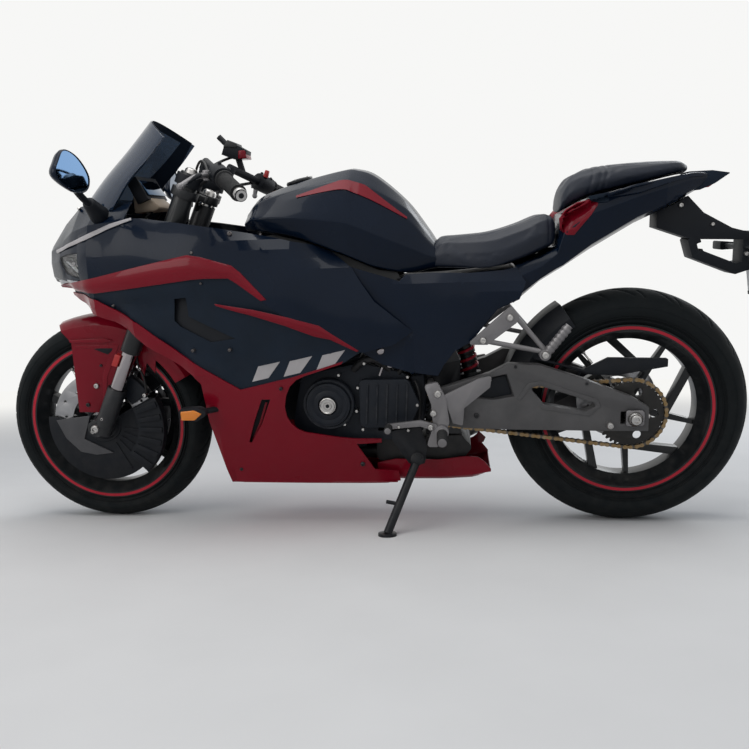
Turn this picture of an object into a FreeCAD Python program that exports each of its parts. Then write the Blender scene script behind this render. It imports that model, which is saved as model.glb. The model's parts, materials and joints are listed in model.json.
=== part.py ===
import FreeCAD, Part
import math
import os

# A fully faired sport motorcycle, parked on its side stand and leaning to its left.
# Everything is drawn upright first, in millimetres: +X to the rear with the rear axle at X = 0,
# +Y to the bike's right, +Z up from the ground. Then the whole bike is leaned over and set down,
# with its origin under the middle of its bounding box.

# Driving dimensions, mm and degrees
WHEELBASE = 1450.0
LEAN = 9.4                    # towards the side stand
RAKE = 24.5                   # steering axis from the vertical
BEAD_R = 219.0                # 17-inch rims, front and rear
CLEAR = 0.3                   # between a piece and its seat

FRONT_TYRE_WALL = 74.0        # from the bead to the tread, 110/70-17
FRONT_TYRE_HALF = 55.0
FRONT_CROWN_R = 61.0          # roundness of the tread
FRONT_RIM_HALF = 46.0
REAR_TYRE_WALL = 101.0        # 150/70-17
REAR_TYRE_HALF = 75.0
REAR_CROWN_R = 88.0
REAR_RIM_HALF = 60.0
FLANGE_HEIGHT = 10.0          # of the rim over its bead seat
WELL_DEPTH = 31.0             # of the rim below its bead seat
FRONT_TYRE_R = BEAD_R + FRONT_TYRE_WALL
REAR_TYRE_R = BEAD_R + REAR_TYRE_WALL
FLANGE_R = BEAD_R + FLANGE_HEIGHT
WELL_R = BEAD_R - WELL_DEPTH
SPOKES = 5

FORK_HALF = 98.0              # centre plane to fork leg
FORK_TUBE_R = 27.0
FOOT_R = 26.0
STANCHION_R = 20.5
AXLE_LEAD = 15.0              # the axle lies this far ahead of the fork legs' line, along X
YOKE_OFFSET = 32.0            # steering axis behind the fork legs' plane
STEM_R = 16.0
HEAD_R = 27.0
BAR_R = 11.0
PIN_CLEAR = 0.05              # round axles, the steering stem and the stand's pin
FORK_FOOT_TOP = 120.0         # along the leg from the axle's level
TUBE_BOTTOM = 232.0
LOWER_YOKE_AT = 395.0
UPPER_YOKE_AT = 690.0
TUBE_TOP = 744.0
LOWER_YOKE_THICK = 36.0
UPPER_YOKE_THICK = 22.0
FRONT_DISC_R = 150.0
COVER_R = 164.0
FRONT_DISC_Y = 57.0
REAR_DISC_R = 110.0
REAR_DISC_Y = 84.0
DISC_THICK = 5.0
RUN_CLEAR = 5.0               # between what turns and what it passes
FRONT_HUB_HALF = 51.0
REAR_HUB_HALF = 78.0
AXLE_R = 10.0

SPROCKET_Y = -92.0
REAR_SPROCKET_R = 90.0        # over the teeth
DRIVE_SPROCKET_R = 36.0
DRIVE_SPROCKET_X = -560.0
DRIVE_SPROCKET_Z = 340.0
CHAIN_HEIGHT = 11.0
CHAIN_WIDTH = 14.0
TEETH = 42

WALL = 4.0                    # plastic body panels
THIN_WALL = 3.2               # the hugger's sides, beside the tyre
COVER_OUTER_Y = 150.0         # side covers under the seat
SPAR_OUTER_Y = 100.0
PIVOT_X = -470.0              # swingarm pivot
PIVOT_Z = 350.0
PIVOT_R = 14.0
SHOCK_TOP = FreeCAD.Vector(-455, 0, 626)
ARM_INNER_Y = 104.0
ARM_THICK = 34.0
BLOCK_HALF = 16.5             # chain adjusters, as high as their slots
SPOOL_X = -62.0               # paddock stand spools on the arms
SPOOL_Z = 304.0
SPOOL_R = 10.0
SPOOL_LENGTH = 12.0

CRANKCASE_HALF = 124.0
STAND_PIVOT = (-556.0, -146.0, 214.0)
STAND_FOOT = (-632.0, -247.0)  # its height follows from the lean
STAND_R = 11.0
STAND_PIN_R = 6.0
STAND_EYE = 14.0              # along the pin
STAND_EYE_R = 17.0
STAND_TILT = (0.05, -1.0, 0.28)  # the pin's way out, tilted so that the leg tucks in as it folds

V = FreeCAD.Vector
RAKE_SIN = math.sin(math.radians(RAKE))
RAKE_COS = math.cos(math.radians(RAKE))
LEAN_SIN = math.sin(math.radians(LEAN))
LEAN_COS = math.cos(math.radians(LEAN))
ACROSS = V(0, 1, 0)
STEER_AXIS = V(RAKE_SIN, 0, RAKE_COS)
STAND_AXIS = V(*STAND_TILT).normalize()
# Each axle's height puts its tyre's round crown on the ground once the bike leans
FRONT_AXLE = V(-WHEELBASE, 0, FRONT_TYRE_R - FRONT_CROWN_R + FRONT_CROWN_R / LEAN_COS)
REAR_AXLE = V(0, 0, REAR_TYRE_R - REAR_CROWN_R + REAR_CROWN_R / LEAN_COS)
FORK_BASE = FRONT_AXLE + V(AXLE_LEAD, 0, 0)
STEER_BASE = FORK_BASE + V(RAKE_COS, 0, -RAKE_SIN) * YOKE_OFFSET


# Shape helpers

def solid_of(faces):
    return Part.makeSolid(Part.makeShell(faces))


def slab(outline, y0, y1):
    """A plate between two Y values whose side view is a polygon of (x, z)."""
    points = [V(x, y0, z) for x, z in outline]
    face = Part.Face(Part.makePolygon(points + points[:1]))
    return face.extrude(V(0, y1 - y0, 0))


def rounded_corner(before, here, after, radius):
    """Start, middle and end of the arc that rounds a corner, as far as its shorter side allows."""
    back, ahead = before - here, after - here
    half = back.getAngle(ahead) / 2
    reach = min(radius / math.tan(half), 0.45 * back.Length, 0.45 * ahead.Length)
    first = here + back.normalize() * reach
    last = here + ahead.normalize() * reach
    inward = ((first + last) * 0.5 - here).normalize()
    top = here + inward * (reach / math.cos(half) - reach * math.tan(half))
    return first, top, last


def soft_slab(outline, y0, y1, radius):
    """A slab with rounded corners."""
    count = len(outline)
    points = [V(x, y0, z) for x, z in outline]
    arcs = [rounded_corner(points[i - 1], points[i], points[(i + 1) % count], radius) for i in range(count)]
    edges = []
    for i in range(count):
        edges.append(Part.Arc(*arcs[i]).toShape())
        edges.append(Part.LineSegment(arcs[i][2], arcs[(i + 1) % count][0]).toShape())
    return Part.Face(Part.Wire(edges)).extrude(V(0, y1 - y0, 0))


def box(x0, x1, y0, y1, z0, z1):
    return Part.makeBox(x1 - x0, y1 - y0, z1 - z0, V(x0, y0, z0))


def rod(start, end, radius):
    return Part.makeCylinder(radius, (end - start).Length, start, end - start)


def bent_tube(points, radius, bend=3.0):
    """Straight runs joined by bends of so many tube radii."""
    edges, start = [], points[0]
    for before, here, after in zip(points, points[1:], points[2:]):
        first, top, last = rounded_corner(before, here, after, bend * radius)
        edges += [Part.LineSegment(start, first).toShape(), Part.Arc(first, top, last).toShape()]
        start = last
    edges.append(Part.LineSegment(start, points[-1]).toShape())
    ring = Part.Wire(Part.makeCircle(radius, points[0], points[1] - points[0]))
    return Part.Wire(edges).makePipeShell([ring], True, False)


def mirrored(shape):
    return shape.mirror(V(0, 0, 0), ACROSS)


def pair(shape):
    """A piece of the left side and its twin on the right."""
    return Part.makeCompound([shape, mirrored(shape)])


def fuse_all(shapes):
    whole = shapes[0].multiFuse(shapes[1:]) if len(shapes) > 1 else shapes[0]
    return whole.removeSplitter()


def turned(profile, axle):
    """A closed outline of (y, r) turned about an axle along Y."""
    points = [axle + V(0, y, r) for y, r in profile]
    face = Part.Face(Part.makePolygon(points + points[:1]))
    return face.revolve(axle, ACROSS, 360)


def disc(axle, y0, y1, radius):
    return rod(axle + V(0, y0, 0), axle + V(0, y1, 0), radius)


def faceted(sections):
    """A closed body of flat triangles through symmetric sections with the same number of points."""
    faces = []
    count = len(sections[0])
    for near, far in zip(sections, sections[1:]):
        for i in range(count):
            j = (i + 1) % count
            a, b = (i, j) if i < count / 2 else (j, i)
            for corners in ((near[a], near[b], far[b]), (near[a], far[b], far[a])):
                if (corners[1] - corners[0]).cross(corners[2] - corners[0]).Length > 1e-6:
                    faces.append(Part.Face(Part.makePolygon(list(corners) + [corners[0]])))
    for end in (sections[0], sections[-1]):
        faces.append(Part.Face(Part.makePolygon(end + end[:1])))
    body = solid_of(faces)
    if body.Volume < 0:
        body.reverse()
    return body


def ring_section(x, half):
    """The closed section at x through the (y, z) points of its right half, from the top down."""
    right = [V(x, y, z) for y, z in half]
    left = [V(x, -y, z) for y, z in reversed(half)]
    return right + left


def lofted(sections):
    """A ruled body through closed polygons, one face for each pair of edges."""
    wires = [Part.makePolygon(s + s[:1]) for s in sections]
    return Part.makeLoft(wires, True, True)


def on_fork(along, y=0.0, behind=0.0):
    """A point at a distance up the fork leg from the axle's level, at a width, behind the leg's line."""
    return FORK_BASE + STEER_AXIS * along + V(RAKE_COS, 0, -RAKE_SIN) * behind + V(0, y, 0)


# Wheels

def tyre(axle, radius, crown_r, half, rim_half):
    """Round crown, shoulders and sidewalls down to the beads between the rim's flanges."""
    bead_y = rim_half - 8
    shoulder_y = 0.82 * half
    shoulder_r = radius - crown_r + math.sqrt(crown_r ** 2 - shoulder_y ** 2)
    wall_r = BEAD_R + 0.46 * (radius - BEAD_R)

    def at(y, r):
        return axle + V(0, y, r)

    bead_top = FLANGE_R + 4
    bulge_r = 0.5 * (bead_top + wall_r)
    belly_r = 0.5 * (shoulder_r + wall_r)
    edges = [
        Part.LineSegment(at(-bead_y, BEAD_R + CLEAR), at(-bead_y, bead_top)),
        Part.Arc(at(-bead_y, bead_top), at(-0.93 * half, bulge_r), at(-half, wall_r)),
        Part.Arc(at(-half, wall_r), at(-0.965 * half, belly_r), at(-shoulder_y, shoulder_r)),
        Part.Arc(at(-shoulder_y, shoulder_r), at(0, radius), at(shoulder_y, shoulder_r)),
        Part.Arc(at(shoulder_y, shoulder_r), at(0.965 * half, belly_r), at(half, wall_r)),
        Part.Arc(at(half, wall_r), at(0.93 * half, bulge_r), at(bead_y, bead_top)),
        Part.LineSegment(at(bead_y, bead_top), at(bead_y, BEAD_R + CLEAR)),
        Part.LineSegment(at(bead_y, BEAD_R + CLEAR), at(-bead_y, BEAD_R + CLEAR)),
    ]
    face = Part.Face(Part.Wire([e.toShape() for e in edges]))
    return face.revolve(axle, ACROSS, 360)


def barrel_outline(rim_half):
    """The rim's wall as (y, r): two flanges, two bead seats and the well between them."""
    seat, lip = rim_half - 8, rim_half - 6
    left = [(-rim_half, FLANGE_R - 16), (-rim_half, FLANGE_R), (-lip, FLANGE_R), (-seat, BEAD_R),
            (-0.62 * rim_half, BEAD_R - 3), (-0.36 * rim_half, WELL_R + 10)]
    inside = [(0.40 * rim_half, WELL_R), (0.72 * rim_half, BEAD_R - 13)]
    right = [(-y, r) for y, r in reversed(left)]
    return left + right + list(reversed(inside)) + [(-y, r) for y, r in inside]


def spoke(axle, start, end, wide_start, wide_end, half_thick):
    """A tapered bar in the wheel's plane between two (radius, degrees) places."""
    def place(radius, degrees):
        a = math.radians(degrees)
        return V(radius * math.cos(a), 0, radius * math.sin(a))

    p, q = place(*start), place(*end)
    side = (q - p).cross(ACROSS).normalize()
    outline = [p - side * wide_start, q - side * wide_end, q + side * wide_end, p + side * wide_start]
    flat = [(axle.x + c.x, axle.z + c.z) for c in outline]
    return slab(flat, -half_thick, half_thick)


def rim(axle, rim_half, hub_half, first, fork_r, sweep):
    """A cast wheel: each of its spokes leaves the hub, runs out to the rim and throws off a swept branch."""
    shapes = [turned(barrel_outline(rim_half), axle), disc(axle, -hub_half, hub_half, 38.0)]
    for i in range(SPOKES):
        a = first + i * 360.0 / SPOKES
        shapes.append(spoke(axle, (30.0, a), (WELL_R + 5, a), 11.0, 6.0, 11.0))
        shapes.append(spoke(axle, (fork_r, a), (WELL_R + 6, a - sweep), 9.0, 11.0, 14.0))
    whole = fuse_all(shapes)
    return whole.cut(disc(axle, -hub_half - 1, hub_half + 1, AXLE_R + PIN_CLEAR))


def brake_disc(axle, y, radius, carrier_r, hub_half, holes):
    """A drilled ring on a carrier that bolts against the hub's end."""
    side = 1 if y > 0 else -1
    ring = disc(axle, y - DISC_THICK / 2, y + DISC_THICK / 2, radius)
    ring = ring.cut(disc(axle, y - DISC_THICK, y + DISC_THICK, carrier_r))
    arms = []
    for i in range(6):
        arms.append(spoke(axle, (28.0, i * 60.0), (carrier_r + 4, i * 60.0), 9.0, 8.0, DISC_THICK / 2))
    arms = [a.translate(V(0, y, 0)) for a in arms]
    boss_end = side * hub_half
    boss = disc(axle, min(boss_end, y + side * DISC_THICK / 2), max(boss_end, y + side * DISC_THICK / 2), 33.0)
    whole = fuse_all([ring, boss] + arms)
    whole = whole.cut(disc(axle, y - 60, y + 60, 22.0))
    for i in range(holes):
        a = 2 * math.pi * (i + 0.5) / holes
        reach = (0.5 * (radius + carrier_r) + (7 if i % 2 else -7))
        centre = axle + V(reach * math.cos(a), 0, reach * math.sin(a))
        whole = whole.cut(disc(centre, y - DISC_THICK, y + DISC_THICK, 4.0))
    return whole


def sprocket(axle, radius, teeth, y0, y1, bore):
    """A toothed plate with round windows."""
    outline = []
    for i in range(teeth):
        for share, r in ((0.0, radius - 7), (0.3, radius - 7), (0.5, radius), (0.7, radius)):
            a = 2 * math.pi * (i + share) / teeth
            outline.append((axle.x + r * math.cos(a), axle.z + r * math.sin(a)))
    plate = slab(outline, y0, y1).cut(disc(axle, y0 - 1, y1 + 1, bore))
    if radius > 60:
        for i in range(5):
            a = math.radians(72 * i)
            centre = axle + V(60 * math.cos(a), 0, 60 * math.sin(a))
            plate = plate.cut(disc(centre, y0 - 1, y1 + 1, 11.0))
    return plate


# Front end

def fork_leg_piece(start, end, radius):
    return pair(rod(on_fork(start, -FORK_HALF), on_fork(end, -FORK_HALF), radius))


def fork_tubes():
    tube = rod(on_fork(TUBE_BOTTOM, -FORK_HALF), on_fork(TUBE_TOP, -FORK_HALF), FORK_TUBE_R)
    bore = rod(on_fork(TUBE_BOTTOM - 1, -FORK_HALF), on_fork(TUBE_BOTTOM + 60, -FORK_HALF), STANCHION_R + CLEAR)
    return pair(tube.cut(bore))


def fork_feet():
    """Castings that hold the stanchions above and clamp the axle ahead of them."""
    body = rod(on_fork(-18, -FORK_HALF), on_fork(FORK_FOOT_TOP, -FORK_HALF), FOOT_R)
    socket = rod(on_fork(45, -FORK_HALF), on_fork(FORK_FOOT_TOP + 1, -FORK_HALF), STANCHION_R + CLEAR)
    lug = disc(FRONT_AXLE, -FORK_HALF - 20, -FORK_HALF + 22, 24.0)
    foot = fuse_all([body, lug]).cut(socket)
    return pair(foot.cut(front_axle()))


def yoke(along, thick):
    """A clamp across both legs and round the steering axis, square to it."""
    lift = STEER_AXIS * (thick / 2)
    centre = on_fork(along)
    parts = []
    for y in (-FORK_HALF, FORK_HALF):
        at = on_fork(along, y)
        parts.append(rod(at - lift, at + lift, FORK_TUBE_R + 9))
    stem = on_fork(along, 0, YOKE_OFFSET)
    parts.append(rod(stem - lift, stem + lift, HEAD_R + 3))
    back = V(RAKE_COS, 0, -RAKE_SIN)
    corners = [centre - back * 14 - V(0, FORK_HALF, 0), centre - back * 14 + V(0, FORK_HALF, 0),
               stem + back * 10 + V(0, FORK_HALF - 40, 0), stem + back * 10 - V(0, FORK_HALF - 40, 0)]
    plate = Part.Face(Part.makePolygon([c - lift * 0.7 for c in corners + corners[:1]]))
    parts.append(plate.extrude(STEER_AXIS * thick * 0.7))
    whole = fuse_all(parts)
    for y in (-FORK_HALF, FORK_HALF):
        at = on_fork(along, y)
        whole = whole.cut(rod(at - lift * 2, at + lift * 2, FORK_TUBE_R + CLEAR))
    return whole


def steering_yokes():
    stem = rod(on_fork(LOWER_YOKE_AT, 0, YOKE_OFFSET), on_fork(UPPER_YOKE_AT, 0, YOKE_OFFSET), STEM_R)
    return fuse_all([yoke(LOWER_YOKE_AT, LOWER_YOKE_THICK), yoke(UPPER_YOKE_AT, UPPER_YOKE_THICK), stem])


def handlebars():
    """Raised bars above the upper yoke: a clamp on each leg, its riser, the swept bar with grip, lever and
    switch box, and on the right the brake's reservoir and a short stalk."""
    at = on_fork(TUBE_TOP - 20, -FORK_HALF)
    lift = STEER_AXIS * 14
    clamp = rod(at - lift, at + lift, FORK_TUBE_R + 8)
    start = at + V(55, -14, 42)
    end = V(-936, -345, 905)
    riser = rod(at + V(FORK_TUBE_R + 3, 0, 0), start, 14.0)
    run = (end - start).normalize()
    bar = rod(start - run * 10, end, BAR_R)
    grip = rod(end - run * 128, end - run * 8, BAR_R + 6)
    weight = rod(end - run * 8, end + run * 16, BAR_R + 3)
    switch = rod(end - run * 184, end - run * 134, BAR_R + 14)
    ahead = run.cross(V(0, 0, 1)).normalize()
    perch = end - run * 165 + ahead * 36
    lever = bent_tube([perch, perch + V(-2, -46, -3), perch + V(-26, -108, -30)], 6.0)
    post = rod(end - run * 165, perch, 9.0)
    shapes = [clamp, riser, bar, grip, weight, switch, post, lever]
    left = fuse_all(shapes).cut(rod(at - lift * 3, at + lift * 3, FORK_TUBE_R + CLEAR))
    across = 150.0
    bar_at = start + run * ((across + start.y) / -run.y)
    foot = V(bar_at.x, across, bar_at.z)
    reservoir = slab([(-1110, 1036), (-1096, 1072), (-1064, 1060), (-1036, 1044), (-1040, 1022), (-1076, 1022)],
                     across - 26, across + 26)
    stalk = rod(V(-1086, across, 1050), V(-1122, across, 1088), 8.0)
    support = rod(foot, V(-1072, across, 1040), 9.0)
    return Part.makeCompound([left, fuse_all([mirrored(left), support, reservoir, stalk])])


def front_fender():
    """A shell over the tyre with side plates that reach down to the fork feet."""
    gap, half = 14.0, FORK_HALF - FORK_TUBE_R - CLEAR
    inner, outer = FRONT_TYRE_R + gap, FRONT_TYRE_R + gap + WALL
    rim_top, rim_low = FRONT_TYRE_R - 9, FRONT_TYRE_R - 43
    crown = [(-half, rim_low), (-half, rim_top), (-0.72 * half, inner - 4), (-0.3 * half, outer), (0.3 * half, outer),
             (0.72 * half, inner - 4), (half, rim_top), (half, rim_low), (half - WALL, rim_low), (half - WALL, rim_top - 2),
             (0.66 * half, inner - 9), (0.28 * half, inner), (-0.28 * half, inner), (-0.66 * half, inner - 9),
             (-half + WALL, rim_top - 2), (-half + WALL, rim_low)]
    points = [FRONT_AXLE + V(0, y, r) for y, r in crown]
    profile = Part.Face(Part.makePolygon(points + points[:1]))
    profile.rotate(FRONT_AXLE, ACROSS, -24)
    shell = profile.revolve(FRONT_AXLE, ACROSS, 86)
    tip = [(-1592, 640), (-1564, 582), (-1520, 530), (-1700, 400), (-1720, 640)]
    plate = slab([(-1520, 552), (-1518, 330), (-1453, 328), (-1405, 420), (-1362, 510), (-1352, 552)],
                 -half, -half + WALL)
    rear = slab([(-1352, 540), (-1322, 418), (-1306, 470), (-1285, 440), (-1268, 560)], -half, -half + WALL)
    whole = fuse_all([shell, plate, rear, mirrored(plate), mirrored(rear)])
    return whole.cut(slab(tip, -half - 1, half + 1))


def in_sector(axle, y0, y1, near, far, start, end):
    """A ring sector in a wheel's plane between two angles from +X towards +Z."""
    ring = disc(axle, y0, y1, far).cut(disc(axle, y0 - 1, y1 + 1, near))
    reach = far * 2
    outline = [(axle.x, axle.z)]
    for i in range(5):
        a = math.radians(start + (end - start) * i / 4)
        outline.append((axle.x + reach * math.cos(a), axle.z + reach * math.sin(a)))
    return ring.common(slab(outline, y0 - 1, y1 + 1))


def brake_covers():
    """Air ducts over the lower half of each front disc, with a ribbed housing behind the fork leg."""
    leg_face = -FORK_HALF + FOOT_R
    inner = -FRONT_DISC_Y - DISC_THICK / 2 - RUN_CLEAR - CLEAR
    plate = in_sector(FRONT_AXLE, inner - 3, inner, 24, COVER_R, -188, 28)
    boss = disc(FRONT_AXLE, leg_face + CLEAR, inner, 32.0)
    housing = in_sector(FRONT_AXLE, inner - 30, inner, 112, COVER_R + 22, -46, 26)
    hollow = in_sector(FRONT_AXLE, inner - 27, inner + 1, 115, COVER_R + 19, -44, 24)
    shapes = [plate, boss, housing.cut(hollow)]
    for i in range(6):
        angle = -42 + i * 12
        shapes.append(in_sector(FRONT_AXLE, inner - 36, inner - 29, 118, COVER_R + 18, angle, angle + 5))
    leg_space = rod(on_fork(-60, -FORK_HALF), on_fork(2 * FORK_FOOT_TOP, -FORK_HALF), FOOT_R + CLEAR)
    return pair(fuse_all(shapes).cut(disc(FRONT_AXLE, -200, 0, 25.0)).cut(leg_space))


def caliper(axle, y, disc_r, side, start, end, outer_reach):
    """Two halves beside a disc and a bridge over its edge. Side is -1 where the wheel's left is outside."""
    near = DISC_THICK / 2 + RUN_CLEAR
    outer, inner = y + side * near, y - side * near
    halves = []
    for face, far in ((outer, outer + side * outer_reach), (inner, inner - side * 7)):
        y0, y1 = sorted((face, far))
        halves.append(in_sector(axle, y0, y1, disc_r - 44, disc_r + 14, start, end))
    y0, y1 = sorted((outer + side * outer_reach, inner - side * 7))
    halves.append(in_sector(axle, y0, y1, disc_r + RUN_CLEAR, disc_r + 16, start, end))
    return fuse_all(halves)


def front_calipers():
    """Calipers behind the legs, each seated on its leg's inner side."""
    reach = FORK_HALF - FOOT_R - CLEAR - FRONT_DISC_Y - DISC_THICK / 2 - RUN_CLEAR
    return pair(caliper(FRONT_AXLE, -FRONT_DISC_Y, FRONT_DISC_R, -1, 32, 62, reach))


def front_axle():
    return disc(FRONT_AXLE, -FORK_HALF - 24, FORK_HALF + 24, AXLE_R)


# Body panels

SCREEN_THICK = 5.0
# The windscreen's bands: x and z of the middle, half width, how far the edges trail and drop
SCREEN = [
    (-1489, 872, 116, 140, -6),
    (-1406, 966, 122, 114, 12),
    (-1326, 1044, 122, 92, 34),
    (-1255, 1118, 118, 68, 56),
]

# The fairing's envelope: x, then the right half's (y, z) from the top centre's edge down to the keel
HULL = [
    (-1572, ((10, 794), (24, 780), (32, 748), (26, 712), (12, 696))),
    (-1520, ((20, 856), (64, 802), (86, 756), (74, 704), (30, 682))),
    (-1465, ((34, 902), (106, 832), (132, 760), (118, 684), (58, 652))),
    (-1400, ((60, 908), (146, 848), (172, 766), (160, 640), (96, 610))),
    (-1280, ((104, 905), (170, 864), (196, 768), (190, 560), (118, 500))),
    (-1120, ((124, 880), (178, 844), (208, 740), (200, 430), (120, 260))),
    (-1075, ((124, 860), (180, 836), (210, 727), (198, 402), (112, 140))),
    (-860, ((118, 812), (172, 792), (208, 660), (192, 380), (112, 140))),
    (-700, ((110, 752), (150, 732), (186, 600), (172, 350), (108, 138))),
    (-600, ((100, 706), (140, 690), (165, 560), (150, 330), (104, 138))),
    (-360, ((80, 330), (92, 318), (98, 280), (98, 232), (90, 190))),
]

SIDE_EDGE = [(-1450, 668), (-1388, 656), (-1314, 619), (-1165, 515), (-1007, 418), (-870, 449), (-738, 487)]
BAND_EDGE = [(-1456, 690), (-1395, 713), (-1122, 768)]


def hull(inset):
    """The envelope, or the space inside it at a wall's distance."""
    sections = []
    for i, (x, half) in enumerate(HULL):
        shift = inset if i == 0 else (-inset if i == len(HULL) - 1 else 0)
        points = [(max(y - inset * 1.1, 4.0), z - inset * (0.9 if k < 2 else (-0.9 if k > 3 else 0)))
                  for k, (y, z) in enumerate(half)]
        sections.append(ring_section(x + shift, points if inset else list(half)))
    return faceted(sections)


def hull_wall():
    return hull(0).cut(hull(WALL))


def side_panel(wall, outline, inner_y):
    """The part of the wall inside a side view, on the left, out from the centre plane."""
    return wall.common(slab(outline, -400, -inner_y))


def nose_cowl(wall):
    outline = [(-1600, 600), (-1456, 690), (-1395, 713), (-1122, 768), (-1130, 846), (-1130, 1000), (-1600, 1000)]
    whole = wall.common(slab(outline, -400, 400))
    whole = whole.cut(box(-1350, -1000, -148, 148, 600, 1100))
    lamp = slab(HEADLAMP, -400, 400)
    whole = whole.cut(lamp)
    return whole


HEADLAMP = [(-1545, 764), (-1420, 780), (-1416, 730), (-1456, 708), (-1545, 716)]


def headlamps():
    """Slanted lamps that fill the openings in the nose, one each side."""
    body = hull(0.0).common(slab(HEADLAMP, -400, -30))
    core = hull(WALL * 5).common(slab(HEADLAMP, -400, -30))
    return pair(body.cut(core))


def side_fairing(wall):
    outline = (BAND_EDGE + [(-1130, 846), (-997, 819), (-813, 781), (-653, 707), (-690, 520)]
               + list(reversed(SIDE_EDGE)))
    return side_panel(wall, outline, 104)


ENGINE_CUT = [(-742, 478), (-839, 450), (-880, 420), (-895, 375), (-884, 335), (-847, 305), (-735, 291)]


def lower_fairing(wall, rear):
    """The red lower panel from the air intake to the keel, ending with the outline given for its rear."""
    outline = (SIDE_EDGE + ENGINE_CUT + [(-723, 291)] + rear
               + [(-1069, 126), (-1107, 326), (-1107, 416), (-1172, 475), (-1254, 531), (-1298, 574),
                  (-1408, 618)])
    panel = side_panel(wall, outline, CLEAR)
    return panel.cut(box(-1600, -1056, -104, 0, 100, 800))


def screen_section(x, z, half, sag, fall):
    """A crescent of the windscreen: its middle leads, its edges trail by sag and drop by fall."""
    outer, inner = [], []
    for i in range(9):
        share = i / 4 - 1
        back = sag * share ** 2
        for row, thick in ((outer, 0), (inner, SCREEN_THICK)):
            row.append(V(x + back + thick, share * half, z - fall * (back + thick) / sag))
    return outer + inner[::-1]


def lower_fairings(wall):
    """The left panel stops short of the stand, the right one runs on below the silencer."""
    left = lower_fairing(wall, [(-661, 205), (-606, 126)])
    right = mirrored(lower_fairing(wall, [(-661, 205), (-399, 232), (-365, 196), (-470, 126)]))
    return Part.makeCompound([left, right.cut(rod(*EXHAUST_EXIT, OUTLET_R + 6))])


def windscreen():
    """A curved tinted sheet that rises back from the nose."""
    sheet = lofted([screen_section(*row) for row in SCREEN])
    return sheet.cut(hull(0))


def mirrors():
    """Pods on stalks from the nose's sides, their glass to the rear."""
    base = V(-1366, -160, 893)
    pod_centre = V(-1338, -330, 972)
    outline = [(-66, -16), (-52, 20), (-24, 46), (26, 31), (64, -10), (50, -44), (-2, -48)]

    def ring(depth, scale):
        points = [pod_centre + V(depth + 0.12 * a, a * scale, b * scale) for a, b in outline]
        return Part.makePolygon(points + points[:1])

    pod = Part.makeLoft([ring(-24, 0.55), ring(-4, 0.98), ring(8, 1.0)], True, True)
    stalk = bent_tube([base, base + V(-6, -60, 30), pod_centre + V(-8, 40, -20)], 9.0)
    foot = box(base.x - 26, base.x + 26, base.y - 14, base.y + 22, base.z - 56, base.z + 14)
    piece = fuse_all([pod, stalk, foot])
    return pair(piece.cut(hull(0)))


# Tank, seats and tail: x, then the right half's (y, z) from the top down

TANK = [
    (-1000, ((28, 876), (76, 866), (94, 842), (84, 824), (60, 818))),
    (-950, ((44, 913), (114, 890), (138, 850), (118, 820), (80, 812))),
    (-850, ((50, 944), (128, 915), (158, 848), (140, 800), (90, 790))),
    (-730, ((50, 972), (122, 940), (160, 832), (142, 756), (90, 745))),
    (-650, ((42, 954), (104, 924), (142, 804), (126, 718), (86, 708))),
    (-570, ((38, 882), (92, 852), (118, 764), (106, 702), (74, 694))),
    (-496, ((34, 778), (84, 762), (94, 738), (88, 712), (60, 706))),
]
RIDER_SEAT = [
    (-495.7, ((40, 776), (84, 768), (92, 744), (88, 714), (60, 709))),
    (-440, ((60, 788), (102, 778), (112, 748), (106, 712), (70, 705))),
    (-363, ((80, 794), (122, 782), (130, 748), (120, 710), (80, 703))),
    (-290, ((84, 814), (126, 802), (134, 768), (124, 732), (84, 712))),
    (-235, ((80, 835), (118, 822), (126, 790), (116, 752), (80, 732))),
    (-196, ((60, 834), (94, 824), (102, 800), (96, 768), (64, 761))),
]
PILLION_SEAT = [
    (-188, ((40, 884), (62, 876), (68, 862), (64, 846), (44, 836))),
    (-160, ((60, 932), (88, 918), (96, 892), (88, 864), (60, 846))),
    (-85, ((66, 951), (96, 938), (104, 914), (96, 890), (64, 874))),
    (20, ((60, 958), (88, 948), (96, 930), (88, 912), (60, 900))),
    (100, ((46, 961), (72, 954), (80, 942), (72, 930), (46, 920))),
    (132, ((24, 950), (40, 946), (44, 940), (40, 935), (24, 924))),
]
TAIL = [
    (-300, ((60, 718), (108, 712), (120, 680), (112, 630), (60, 612))),
    (-235, ((70, 740), (112, 732), (122, 710), (112, 680), (60, 668))),
    (-192, ((70, 758), (108, 756), (120, 742), (110, 706), (60, 694))),
    (-184, ((56, 838), (84, 834), (118, 790), (112, 712), (60, 700))),
    (-110, ((60, 874), (100, 868), (118, 838), (108, 760), (56, 746))),
    (0, ((60, 902), (98, 896), (112, 872), (98, 822), (50, 808))),
    (110, ((44, 926), (78, 922), (88, 904), (72, 866), (36, 856))),
    (205, ((10, 926), (22, 924), (26, 920), (20, 912), (8, 910))),
]


def body_of(table):
    return faceted([ring_section(x, list(half)) for x, half in table])


def seat_of(table):
    """A seat that rests on the tail."""
    return body_of(table).cut(body_of(TAIL).translate(V(0, 0, CLEAR)))


def tail_space():
    """The hollow inside the tail, open at its front."""
    sections = []
    for x, half in TAIL[:-1]:
        inset = [(y - WALL, z + (-WALL if k < 2 else (WALL if k > 2 else 0))) for k, (y, z) in enumerate(half)]
        sections.append(ring_section(x - (5 if x == TAIL[0][0] else 0), inset))
    return faceted(sections)


def tail_cowl():
    return body_of(TAIL).cut(tail_space()).cut(tail_lamp())


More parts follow.
